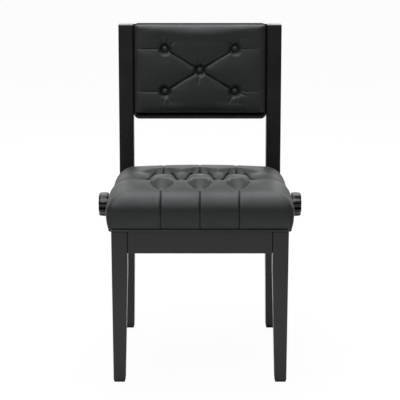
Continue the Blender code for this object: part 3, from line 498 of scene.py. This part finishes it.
def swell(obj, bm, held, settings, cap):
    """Swell a padded piece as a coarse skin of the same pad swells in a cloth simulation."""
    bmesh.ops.triangulate(bm, faces=bm.faces)
    bm.verts.index_update()
    faces = [[vert.index for vert in face.verts] for face in bm.faces]
    before, coarse = blow_up(bm, held, settings, cap)
    bm.free()
    corners = [Vector(point) for point in before]
    skin = BVHTree.FromPolygons(corners, faces)
    mesh = obj.data
    move = np.zeros((len(mesh.vertices), 3))
    for vert in mesh.vertices:
        spot, _, index, _ = skin.find_nearest(vert.co)
        weights = poly_3d_calc([corners[corner] for corner in faces[index]], spot)
        move[vert.index] = np.dot(weights, coarse[faces[index]])
    ends = np.array([edge.vertices[:] for edge in mesh.edges])
    count = np.bincount(ends.ravel(), minlength=len(move))[:, None]
    for _ in range(EVENING_ROUNDS):
        total = np.zeros_like(move)
        np.add.at(total, ends[:, 0], move[ends[:, 1]])
        np.add.at(total, ends[:, 1], move[ends[:, 0]])
        move = (move + total / count) / 2
    for vert in mesh.vertices:
        vert.co += Vector(move[vert.index])
    mesh.update()


def halfway(first, second):
    """Plan point halfway between two others."""
    return ((first[0] + second[0]) / 2, (first[1] + second[1]) / 2)


def round_corners(half, radius):
    """Closed path round a rectangle with rounded corners, in plan."""
    path = []
    for quarter, (x, y) in enumerate(((1, 1), (-1, 1), (-1, -1), (1, -1))):
        for step in range(CORNER_STEPS + 1):
            turn = math.pi / 2 * (quarter + step / CORNER_STEPS)
            path.append(Vector((x * (half[0] - radius) + radius * math.cos(turn),
                                y * (half[1] - radius) + radius * math.sin(turn), 0)))
    return path


def edges_at(verts):
    """Edges that meet at any of the vertices."""
    return list({edge for vert in verts for edge in vert.link_edges})


def draw_out(bm, edges):
    """Extrude an open edge; gives its new vertices and edges."""
    drawn = bmesh.ops.extrude_edge_only(bm, edges=edges)["geom"]
    return ([item for item in drawn if isinstance(item, bmesh.types.BMVert)],
            [item for item in drawn if isinstance(item, bmesh.types.BMEdge) and item.is_boundary])


def cord(path, radius):
    """Bmesh of a closed round cord along a path."""
    bm = bmesh.new()
    rings = []
    for before, point, after in zip(path[-1:] + path[:-1], path, path[1:] + path[:1]):
        place = Matrix.Translation(point) @ (after - before).to_track_quat('Z', 'Y').to_matrix().to_4x4()
        made = bmesh.ops.create_circle(bm, segments=CORD_SIDES, radius=radius, matrix=place)
        rings.append(edges_at(made["verts"]))
    for ring, following in zip(rings, rings[1:] + rings[:1]):
        bmesh.ops.bridge_loops(bm, edges=ring + following)
    return bm


class TuftedPad:
    """Crowned pad with rolled edges whose pillows swell between the folds that its buttons draw in."""

    def __init__(self, half, rolls, corners, shoulder, crown, pitch, creases, bowls, shift=None):
        """Creases hold start, end, depth and both reaches; bowls hold place, half sizes, form and depth."""
        self.half = np.array(half)
        self.rolls = rolls
        self.corners = corners
        self.shoulder = shoulder
        self.crown = crown
        self.pitch = pitch
        self.creases = creases
        self.bowls = bowls
        self.shift = shift

    def stations(self, axis, cells, lines):
        """Grid lines across the pad: even between the buttons, closer down the rolled edges."""
        step = self.pitch[axis] / cells
        low, high = [self.half[axis] - roll for roll in self.rolls[axis]]
        start = self.creases[0][0][axis]
        even = start + step * np.arange(-GRID_REACH, GRID_REACH + 1)
        even = even[(even > -low + step / 2) & (even < high - step / 2)]
        turns = np.sin(np.linspace(0, math.pi / 2, lines + 1))
        below = -low - self.rolls[axis][0] * turns[::-1]
        above = high + self.rolls[axis][1] * turns
        return np.concatenate((below, even, above))

    @staticmethod
    def beside(points, start, end):
        """Distance from each plan point to a crease, the share of its length there and how far behind it lies."""
        run = np.subtract(end, start)
        share = np.clip((points - start) @ run / (run @ run), 0, 1)
        away = points - start - share[:, None] * run
        gap = np.linalg.norm(away, axis=1)
        return gap, share, np.clip(0.5 + SIDE_BLEND * away[:, 1] / np.maximum(gap, TINY), 0, 1)

    def drop(self, points):
        """How far the surface is drawn in at each point: each crease has round pillows on both sides."""
        total = np.zeros(len(points))
        for start, end, *pairs in self.creases:
            gap, share, behind = self.beside(points, start, end)
            depth, front, back = [first + (last - first) * share for first, last in pairs]
            across = np.minimum(gap / (front + (back - front) * behind), 1)
            slit = SLIT_SHARE * np.minimum(1, depth / SLIT_FULL_DEPTH) * np.maximum(0, 1 - gap / SLIT_HALF)
            total += (depth * (1 - np.sqrt(across * (2 - across)) + slit)) ** BLEND
        for share, (*_, form, depth) in zip(self.bowl_share(points), self.bowls):
            total += (depth * share ** form[2]) ** BLEND
        return total ** (1 / BLEND)

    def bowl_share(self, points):
        """How near each point lies to the middle of each round hollow: 1 in the middle and 0 from its rim on."""
        return [np.maximum(0, 1 - np.abs((points[:, 0] - x) / wide) ** form[0]
                           - np.abs((points[:, 1] - y) / deep) ** form[1])
                for x, y, wide, deep, form, _ in self.bowls]

    def top(self, grid):
        """Points over the grid's crossings, with their plan, outward direction and way to a square corner."""
        roll = np.where(grid < 0, [side[0] for side in self.rolls], [side[1] for side in self.rolls])
        flat = self.half - roll
        over = np.maximum(0, np.abs(grid) - flat) / roll
        steep = over.max(axis=1)
        square = np.where(grid[:, 1] < 0, *self.corners)
        power = (TOP_CORNER + (square - TOP_CORNER) * steep ** 2)[:, None]
        size = (over ** power).sum(axis=1) ** (1 / power[:, 0])
        round_over = over * (steep / np.where(size > 0, size, 1))[:, None]
        sign = np.sign(grid)
        plan = sign * (np.minimum(np.abs(grid), flat) + round_over * roll)
        to_square = sign * (over - round_over) * roll
        outward = sign * round_over ** (power - 1) / roll
        length = np.linalg.norm(outward, axis=1)
        outward = outward / np.where(length > 0, length, 1)[:, None]
        rise = np.sqrt(np.maximum(0, 1 - steep * steep))
        shoulder = self.shoulder(plan)
        height = self.crown(plan) - shoulder
        width = np.where(over[:, 0] > over[:, 1], roll[:, 0], roll[:, 1])
        lean = np.hypot(steep / width, rise / height)
        drop = self.drop(plan) / lean
        points = np.column_stack((plan - outward * (drop * steep / width)[:, None],
                                  shoulder + height * rise - drop * rise / height))
        if self.shift:
            points[:, 1] += self.shift(plan)
        return points, plan, outward, to_square

    def build(self, cells, lines, hem, walls):
        """Bmesh of the outer skin; walls lists share of the way to the hem, outward move and squareness."""
        columns, rows = self.stations(0, cells, lines), self.stations(1, cells, lines)
        bm = bmesh.new()
        bmesh.ops.create_grid(bm, x_segments=len(columns) - 1, y_segments=len(rows) - 1, size=0.5)
        marks = np.array([vert.co.xy for vert in bm.verts]) + 0.5
        column = np.rint(marks[:, 0] * (len(columns) - 1)).astype(int)
        row = np.rint(marks[:, 1] * (len(rows) - 1)).astype(int)
        points, plan, outward, to_square = self.top(np.column_stack((columns[column], rows[row])))
        mark = bm.verts.layers.int.new("mark")
        for index, vert in enumerate(bm.verts):
            vert.co = points[index]
            vert[mark] = index
        gap = self.crease_gap(plan)
        self.split_valleys(bm, gap)
        edges = [edge for edge in bm.edges if edge.is_boundary]
        crease = self.drop(plan)
        for share, move, square in walls:
            verts, edges = draw_out(bm, edges)
            for vert in verts:
                index = vert[mark]
                at = plan[index] + outward[index] * (move - crease[index]) + to_square[index] * square
                vert.co = (*at, points[index, 2] + (hem - points[index, 2]) * share)
        for edge in bm.edges:
            edge.smooth = any(gap[vert[mark]] > ON_CREASE for vert in edge.verts)
        return bm, edges, plan[[vert[mark] for vert in bm.verts]]

    def crease_gap(self, plan):
        """Distance from each plan point to the nearest crease."""
        return np.min([self.beside(plan, start, end)[0] for start, end, *_ in self.creases], axis=0)

    def held(self, plan, share):
        """Which points the cloth simulation holds: those in a crease or well down in a hollow."""
        return (self.crease_gap(plan) < HELD_BESIDE_CREASE) | (np.max(self.bowl_share(plan), axis=0) > share)

    @staticmethod
    def split_valleys(bm, gap):
        """Divide each square that a crease crosses along the crease, so that the crease stays sharp."""
        for face in list(bm.faces):
            first, second, third, fourth = face.verts
            for pair in ((first, third), (second, fourth)):
                if gap[pair[0].index] + gap[pair[1].index] < ON_CREASE:
                    bmesh.utils.face_split(face, *pair)
                    break


def close_round_box(bm, edges, half, hem, top):
    """Turn the hem in to the box that the cushion wraps, run it up the box and close it over the top."""
    for level in (hem, top):
        verts, edges = draw_out(bm, edges)
        for vert in verts:
            share = max(abs(vert.co.x) / half[0], abs(vert.co.y) / half[1])
            inner = vert.co.xy / share
            vert.co = (inner.x, inner.y, level)
    bmesh.ops.contextual_create(bm, geom=edges)


class CHAIR_OT_seat_cushion(bpy.types.Operator):
    """Buttoned seat cushion with three pleats down its front."""

    bl_idname = "piano_chair.seat_cushion"
    bl_label = "Seat cushion"

    def execute(self, context):
        settings = context.scene.chair_upholstery
        pad = self.pad(settings)
        skin = leatherette(settings)
        cushion = new_piece("seat_cushion_cover", self.cover(pad, *FINE_SEAT)[0], skin, "seat")
        swell(cushion, *self.cover(pad, *COARSE_SEAT), settings, SEAT_SWELL)
        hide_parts("seat_cushion")
        welt = cord(round_corners(pad.half - WELT_INSET, WELT_CORNER), WELT_RADIUS)
        bmesh.ops.translate(welt, vec=(0, SEAT_PLACE.translation.y, SEAT_LOW.z - WELT_DROP), verts=welt.verts)
        new_piece("seat_welt", welt, skin, "seat")
        return {'FINISHED'}

    def pad(self, settings):
        """Pad of the seat, which three front, four middle and three rear buttons draw in."""
        buttons = [tuple((SEAT_PLACE.inverted() @ point).xy) for point in SEAT_BUTTONS]
        front, across, rear = buttons[:3], buttons[3:7], buttons[7:]
        pitch = (across[1][0] - front[0][0], across[0][1] - front[0][1])
        bowls = [(x, y + OVAL_SET_BACK, *OVAL) for x, y in front]
        bowls += [(x, y, *WELL, settings.seat_tuft) for x, y in front + across]
        bowls += [(x, y + REAR_DIP_SET_BACK, *REAR_DIP) for x, y in rear]
        bowls += [(x, y, *REAR_WELL, settings.seat_tuft) for x, y in rear]

        def behind(plan):
            share = np.clip((plan[:, 1] - SEAT_FALL_START) / SEAT_FALL_LENGTH, 0, 1)
            return share * share * (3 - 2 * share)

        def crown(plan):
            arch = np.minimum(np.abs(plan[:, 0]) / SEAT_ARCH_HALF, 1) ** 2
            nose = SEAT_NOSE * np.clip((SEAT_FALL_START - plan[:, 1]) / SEAT_NOSE_LENGTH, 0, 1) ** 2
            return settings.seat_crown - nose - behind(plan) * (settings.seat_fall + SEAT_ARCH * arch)

        def shoulder(plan):
            return SEAT_SHOULDER - SEAT_SHOULDER_FALL * behind(plan)

        def shift(plan):
            return self.scallop(plan, front[0], across[-1], pitch)

        creases = list(self.creases(settings, front, across, rear))
        return TuftedPad(SEAT_HALF, SEAT_ROLLS, SEAT_CORNERS, shoulder, crown, pitch, creases, bowls, shift)

    @staticmethod
    def creases(settings, front, across, rear):
        """Folds between neighbouring buttons, pleats to the edges and seams at the front corners."""
        tuft, fold = settings.seat_tuft, settings.seat_fold
        neighbour = NEIGHBOUR * (across[1][0] - front[0][0])
        for inner in across:
            for outer in rear:
                if abs(outer[0] - inner[0]) < neighbour:
                    between = halfway(inner, outer)
                    yield inner, between, (tuft, fold), *MIDDLE_FOLD
                    yield outer, between, (REAR_FOLD_START, fold), *REAR_FOLD
            for outer in front:
                if abs(outer[0] - inner[0]) < neighbour:
                    yield inner, halfway(inner, outer), (tuft, FRONT_FOLD_END), *FRONT_FOLD
        edge = (SEAT_HALF[0] + PAST_EDGE, SEAT_HALF[1] + PAST_EDGE)
        for x, y in front:
            yield (x, y), (x, -edge[1]), *PLEAT
        for x, y in rear:
            yield (x, y), (x, edge[1]), *PLEAT
            yield (x, y), (x, y + REAR_TUCK_LENGTH), *REAR_TUCK
        for x, y in (across[0], across[-1]):
            yield (x, y), (math.copysign(edge[0], x), y), (tuft, SIDE_FOLD_END), *SIDE_FOLD
        for x in (-CORNER_SEAM_X, CORNER_SEAM_X):
            yield (x, CORNER_SEAM_START - SEAT_HALF[1]), (x, -edge[1]), *FRONT_SEAM

    @staticmethod
    def cover(pad, cells, lines, rows):
        """Closed skin of the seat in its place, and which of its points the cloth simulation holds."""
        walls = [(share, -SEAT_TUCK * share ** 3, SEAT_SQUARE * share) for share in np.linspace(0, 1, rows + 1)[1:]]
        bm, edges, plan = pad.build(cells, lines, SEAT_HEM, walls)
        close_round_box(bm, edges, SEAT_BOX, SEAT_HEM, 0.0)
        held = np.ones(len(bm.verts), bool)
        heights = np.array([vert.co.z for vert in bm.verts])[:len(plan)]
        held[:len(plan)] = pad.held(plan, SEAT_HELD_BOWL) | (heights < SEAT_HEM + SEAT_HELD_HEM)
        bmesh.ops.transform(bm, matrix=SEAT_PLACE, verts=bm.verts)
        return bm, held

    @staticmethod
    def scallop(plan, button, last, pitch):
        """Move along the seat that bends the straight folds into scallops with round fronts."""
        away = np.abs((plan[:, 0] - button[0]) / pitch[0])
        away = np.where(np.abs(plan[:, 0]) < abs(last[0]), np.abs((away + 1) % 2 - 1), 1.0)
        near = button[1] + pitch[1] * away
        far = button[1] + pitch[1] * (2 - away)
        bent = np.sin(math.pi / 2 * np.minimum(1, (1 - away) / SCALLOP_SPAN) ** SCALLOP_POWER) ** 2
        inside = np.clip((plan[:, 1] - near) / np.maximum(far - near, TINY), 0, 1)
        fade = np.clip(1 - (plan[:, 1] - far) / SCALLOP_FADE, 0, 1)
        return pitch[1] * (bent - (1 - away)) * inside * fade * fade * (3 - 2 * fade)


class CHAIR_OT_back_cushion(bpy.types.Operator):
    """Back cushion with five buttons and folds between them."""

    bl_idname = "piano_chair.back_cushion"
    bl_label = "Back cushion"

    def execute(self, context):
        settings = context.scene.chair_upholstery
        low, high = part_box("back_cushion")
        outer = ((high.x - low.x) / 2, BACK_HALF_HEIGHT)
        place = BACK_PLACE @ Matrix.Translation((0, BACK_COVER_LIFT, 0))
        pad = self.pad(settings, np.subtract(outer, BACK_COVER_INSET), place)
        skin = leatherette(settings)
        cushion = new_piece("back_cushion_cover", self.cover(pad, place, *FINE_BACK)[0], skin, "frame")
        swell(cushion, *self.cover(pad, place, *COARSE_BACK), settings, BACK_SWELL)
        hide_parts("back_cushion")
        # The border ring's near-black colour is painted shade on its downward face under the pad
        edging_shade = moulded_plastic("black_border_painted_shade", settings.edging_shade, smooth=0.55, coarse=0.65, ior=1.30)
        for name, finish, (inset, radius, height) in (("back_border", edging_shade, BORDER), ("back_piping", skin, PIPING)):
            ring = cord(round_corners((outer[0] - inset, outer[1] + EDGING_GROWTH - inset), EDGING_CORNER), radius)
            lift = Matrix.Translation((0, -EDGING_DROP, height))
            bmesh.ops.transform(ring, matrix=BACK_PLACE @ lift, verts=ring.verts)
            new_piece(name, ring, finish, "frame")
        return {'FINISHED'}

    def pad(self, settings, half, place):
        """Pad of the back, which a middle button and four others draw in."""
        buttons = [tuple((place.inverted() @ point).xy) for point in BACK_BUTTONS]
        centre, corner = buttons[:2]
        pitch = (abs(corner[0]), abs(corner[1] - centre[1]))
        bowls = [(x, y, *BACK_WELL, settings.back_tuft) for x, y in buttons]
        return TuftedPad(half, BACK_ROLLS, BACK_CORNERS, lambda plan: np.full(len(plan), BACK_SHOULDER),
                         lambda plan: np.full(len(plan), BACK_CROWN), pitch,
                         list(self.creases(settings, buttons, half)), bowls)

    @staticmethod
    def creases(settings, buttons, half):
        """Folds from the middle button to the others, pleats to the sides and wrinkles round every button."""
        centre, *corners = buttons
        for corner in corners:
            between = halfway(centre, corner)
            for button in (centre, corner):
                yield button, between, (BACK_FOLD_START, settings.back_fold), *BACK_FOLD
            x, y = corner
            depths = LEFT_PLEAT_DEPTH if x < 0 else RIGHT_PLEAT_DEPTH
            yield corner, (math.copysign(half[0] + PAST_EDGE, x), y), depths, *BACK_PLEAT
        for (x, y), angles in zip(buttons, WRINKLE_ANGLES):
            for angle in angles:
                turn = math.radians(angle)
                end = (x + WRINKLE_LENGTH * math.cos(turn), y + WRINKLE_LENGTH * math.sin(turn))
                yield (x, y), end, *WRINKLE

    @staticmethod
    def cover(pad, place, cells, lines, rows):
        """Closed skin of the back in its place, and which of its points the cloth simulation holds."""
        walls = [(share, -BACK_TUCK * share ** 2, 0.0) for share in np.linspace(0, 1, rows + 1)[1:]]
        bm, edges, plan = pad.build(cells, lines, 0.0, walls)
        bmesh.ops.contextual_create(bm, geom=edges)
        heights = np.array([vert.co.z for vert in bm.verts])
        held = pad.held(plan, BACK_HELD_BOWL) | (heights < BACK_HELD_HEM)
        bmesh.ops.transform(bm, matrix=place, verts=bm.verts)
        return bm, held


class CHAIR_OT_buttons(bpy.types.Operator):
    """Covered buttons of the seat and the back."""

    bl_idname = "piano_chair.buttons"
    bl_label = "Buttons"

    def execute(self, context):
        settings = context.scene.chair_upholstery
        skin = leatherette(settings)
        for name, body, points, place in (("seat", "seat", SEAT_BUTTONS, SEAT_PLACE),
                                          ("back", "frame", BACK_BUTTONS, BACK_PLACE)):
            bm = bmesh.new()
            turn = place.to_3x3().to_4x4()
            for point in points:
                made = bmesh.ops.create_uvsphere(bm, u_segments=BUTTON_SIDES, v_segments=BUTTON_SIDES // 2, radius=1.0)
                bmesh.ops.scale(bm, vec=(settings.button, settings.button, BUTTON_DOME), verts=made["verts"])
                bmesh.ops.transform(bm, matrix=Matrix.Translation(point) @ turn, verts=made["verts"])
            buttons = new_piece(name + "_covered_buttons", bm, skin, body)
            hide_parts(*[f"{name}_button_{number}" for number in range(1, len(points) + 1)])
        return {'FINISHED'}


class CHAIR_OT_woodwork(bpy.types.Operator):
    """Lacquer on the legs, aprons and seat box, and bare wood under the seat."""

    bl_idname = "piano_chair.woodwork"
    bl_label = "Woodwork"

    def execute(self, context):
        settings = context.scene.chair_frame
        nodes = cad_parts
        upright = black_lacquer(settings, "upright", (1.0, 1.0, LACQUER_STRETCH))
        rail = black_lacquer(settings, "rail", (LACQUER_STRETCH, 1.0, 1.0))
        side = black_lacquer(settings, "side_rail", (1.0, LACQUER_STRETCH, 1.0))
        dress([name for name in nodes if name.startswith(("front_leg", "back_post"))], upright)
        dress(["front_apron", "back_apron", "seat_box_front", "seat_box_back"], rail)
        dress(["side_apron_left", "side_apron_right", "seat_box_left", "seat_box_right"], side)
        dress([name for name in nodes if name.startswith("corner_block")] + ["seat_board"], bare_hardwood(settings))
        dress(["back_panel"], leatherette(context.scene.chair_upholstery))
        return {'FINISHED'}


class CHAIR_OT_lift(bpy.types.Operator):
    """Zinc plating on the scissor lift and the leg bolts."""

    bl_idname = "piano_chair.lift"
    bl_label = "Scissor lift"

    def execute(self, context):
        steel = zinc_steel(context.scene.chair_frame)
        words = ("bearing_plate", "drive_arm", "follow_arm", "leg_bolt", "lower_", "nut_bar", "slide_rod",
                 "spindle", "upper_rail")
        dress([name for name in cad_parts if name.startswith(words)], steel)
        return {'FINISHED'}


class CHAIR_OT_plastics(bpy.types.Operator):
    """Gloss knobs and dull glides."""

    bl_idname = "piano_chair.plastics"
    bl_label = "Knobs and glides"

    def execute(self, context):
        settings = context.scene.chair_frame
        gloss = moulded_plastic("gloss_black_abs", settings.knob, smooth=0.08, coarse=0.14, ior=1.38)
        for name, side in (("left", -1), ("right", 1)):
            low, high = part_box("knob_" + name)
            end = max(abs(low.x), abs(high.x))
            turn = Matrix.Rotation(side * math.pi / 2, 4, 'Y')
            place = Matrix.Translation((side * (end - settings.knob_length), *middle("knob_" + name).yz)) @ turn
            bm = self.fluted(settings.knob_length, (high.z - low.z) / 2)
            bmesh.ops.transform(bm, matrix=place, verts=bm.verts)
            knob = new_piece("fluted_knob_" + name, bm, gloss, "spindle")
            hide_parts("knob_" + name)
        glides = [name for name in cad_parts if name.startswith("foot_glide")]
        dull = moulded_plastic("dull_black_polythene", settings.glide, smooth=0.5, coarse=0.6, ior=1.5)
        dress(glides, dull)
        return {'FINISHED'}

    @staticmethod
    def fluted(length, radius):
        """Bmesh of a hand knob with eight hollow flutes, rounded ends and a shallow dish in its outer face."""
        inner, outer = KNOB_INNER_ROUND, KNOB_OUTER_ROUND
        quarter = np.linspace(0, math.pi / 2, KNOB_ROUND_STEPS)
        rings = [(radius - step, back, share) for step, back, share in KNOB_INNER_STEPS]
        rings += [(radius - inner + inner * math.sin(t), inner - inner * math.cos(t), 1.0) for t in quarter]
        rings += [(radius + KNOB_BARREL * math.sin(math.pi * share), inner + (length - inner - outer) * share, 1.0)
                  for share in KNOB_BARREL_RINGS]
        rings += [(radius - outer + outer * math.cos(t), length - outer + outer * math.sin(t), 1.0) for t in quarter]
        rings += [(radius - step, length - back, share) for step, back, share in KNOB_DISH_STEPS]
        ends = (0, len(rings) - 1)
        bm = bmesh.new()
        last = None
        for index, (reach, along, share) in enumerate(rings):
            made = bmesh.ops.create_circle(bm, cap_ends=index in ends, segments=KNOB_SIDES, radius=reach)
            for vert in made["verts"]:
                angle = math.atan2(vert.co.y, vert.co.x)
                hollow = FLUTE_DEPTH * share * (0.5 + 0.5 * math.cos(FLUTES * angle)) ** FLUTE_POWER
                vert.co.xy *= 1 - hollow / reach
                vert.co.z = along
            ring = edges_at(made["verts"])
            if last:
                bmesh.ops.bridge_loops(bm, edges=last + ring)
            last = ring
        return bm


class CHAIR_OT_stage(bpy.types.Operator):
    """White floor, dark screens, soft lamps and the camera."""

    bl_idname = "piano_chair.stage"
    bl_label = "Stage"

    def execute(self, context):
        settings = context.scene.chair_stage
        scene = context.scene
        scene.view_settings.view_transform = 'Standard'
        camera = bpy.data.objects.new("camera", bpy.data.cameras.new("camera"))
        scene.collection.objects.link(camera)
        camera.data.lens = settings.lens
        camera.data.sensor_width = CAMERA_FRAME
        camera.data.clip_end = 100.0
        camera.location = settings.camera
        camera.rotation_euler = (math.pi / 2 - settings.tilt, 0, 0)
        scene.camera = camera
        self.floor(settings)
        self.flags(settings)
        self.world(scene)
        for softbox in SOFTBOXES:
            self.lamp(*softbox)
        return {'FINISHED'}

    @staticmethod
    def floor(settings):
        """Wide white floor that the camera sees white, with the chair's soft shadow kept."""
        material, tree, _ = new_material("white_studio_floor")
        paint = add_node(tree, 'ShaderNodeBsdfDiffuse', {"Color": linear(settings.floor)})
        glow = add_node(tree, 'ShaderNodeEmission', {"Strength": 1.0})
        finish_material(material, seen_apart(tree, FLOOR_GLOW, paint, glow))
        bm = bmesh.new()
        bmesh.ops.create_circle(bm, cap_ends=True, segments=FLOOR_SIDES, radius=FLOOR_RADIUS)
        floor = new_object("studio_floor", bm, material)

    @staticmethod
    def flags(settings):
        """Dark screens behind the camera and at both sides, which upright faces mirror; the camera sees through."""
        material, tree, _ = new_material("dark_studio_screen")
        cloth = add_node(tree, 'ShaderNodeBsdfDiffuse', {"Color": linear(settings.screen)})
        clear = add_node(tree, 'ShaderNodeBsdfTransparent')
        finish_material(material, seen_apart(tree, 1.0, cloth, clear))
        bm = bmesh.new()
        for place, turn, wide in SCREENS:
            made = bmesh.ops.create_grid(bm, x_segments=1, y_segments=1, size=1.0)
            stand = Matrix.Rotation(turn, 4, 'Z') @ Matrix.Rotation(math.pi / 2, 4, 'X')
            size = Matrix.Diagonal((wide, SCREEN_HALF_HEIGHT, 1.0, 1.0))
            bmesh.ops.transform(bm, matrix=Matrix.Translation(place) @ stand @ size, verts=made["verts"])
        flag = new_object("studio_flags", bm, material)

    @staticmethod
    def world(scene):
        """White surround for the camera and for reflections, and a plain soft light from it."""
        world = bpy.data.worlds.new("white_studio")
        scene.world = world
        world.use_nodes = True
        tree = world.node_tree
        tree.nodes.clear()
        path = add_node(tree, 'ShaderNodeLightPath')
        seen = path.outputs["Is Camera Ray"]
        for name in ("Is Glossy Ray", "Is Transmission Ray"):
            seen = add_node(tree, 'ShaderNodeMath', {0: seen, 1: path.outputs[name]}, operation='MAXIMUM').outputs[0]
        strength = spread(tree, seen, target=(SURROUND_FILL, 1.0))
        light = add_node(tree, 'ShaderNodeBackground', {"Color": linear("#ffffff"), "Strength": strength})
        add_node(tree, 'ShaderNodeOutputWorld', {"Surface": light.outputs[0]})

    @staticmethod
    def lamp(name, place, target, size, watts):
        """Square softbox that faces a point."""
        data = bpy.data.lights.new(name, 'AREA')
        data.size = size
        data.energy = watts
        lamp = bpy.data.objects.new(name, data)
        bpy.context.scene.collection.objects.link(lamp)
        lamp.location = place
        lamp.rotation_euler = (Vector(target) - Vector(place)).to_track_quat('-Z', 'Y').to_euler()


class CHAIR_PT_dressing(bpy.types.Panel):
    """Lists the pieces of the chair and the values that shape them."""

    bl_idname = "CHAIR_PT_dressing"
    bl_label = "Piano chair"
    bl_space_type = 'VIEW_3D'
    bl_region_type = 'UI'
    bl_category = "Piano chair"

    def draw(self, context):
        layout = self.layout
        for name in SETTINGS:
            group = getattr(context.scene, name)
            box = layout.box()
            for prop in group.__annotations__:
                box.prop(group, prop)
        for operator in OPERATORS:
            layout.operator(operator.bl_idname)


SETTINGS = {"chair_upholstery": UpholsterySettings, "chair_frame": FrameSettings, "chair_stage": StageSettings}
OPERATORS = (CHAIR_OT_stage, CHAIR_OT_woodwork, CHAIR_OT_lift, CHAIR_OT_plastics, CHAIR_OT_seat_cushion,
             CHAIR_OT_back_cushion, CHAIR_OT_buttons)


def register():
    """Register the settings, operators and panel."""
    for name, group in SETTINGS.items():
        bpy.utils.register_class(group)
        setattr(bpy.types.Scene, name, PointerProperty(type=group))
    for operator in OPERATORS:
        bpy.utils.register_class(operator)
    bpy.utils.register_class(CHAIR_PT_dressing)


def unregister():
    """Take the panel, operators and settings away again."""
    bpy.utils.unregister_class(CHAIR_PT_dressing)
    for operator in reversed(OPERATORS):
        bpy.utils.unregister_class(operator)
    for name, group in SETTINGS.items():
        delattr(bpy.types.Scene, name)
        bpy.utils.unregister_class(group)


def main():
    """Register the add-on and dress the chair."""
    register()
    bpy.ops.piano_chair.stage()
    bpy.ops.piano_chair.woodwork()
    bpy.ops.piano_chair.lift()
    bpy.ops.piano_chair.plastics()
    bpy.ops.piano_chair.seat_cushion()
    bpy.ops.piano_chair.back_cushion()
    bpy.ops.piano_chair.buttons()


if __name__ == "__main__":
    main()
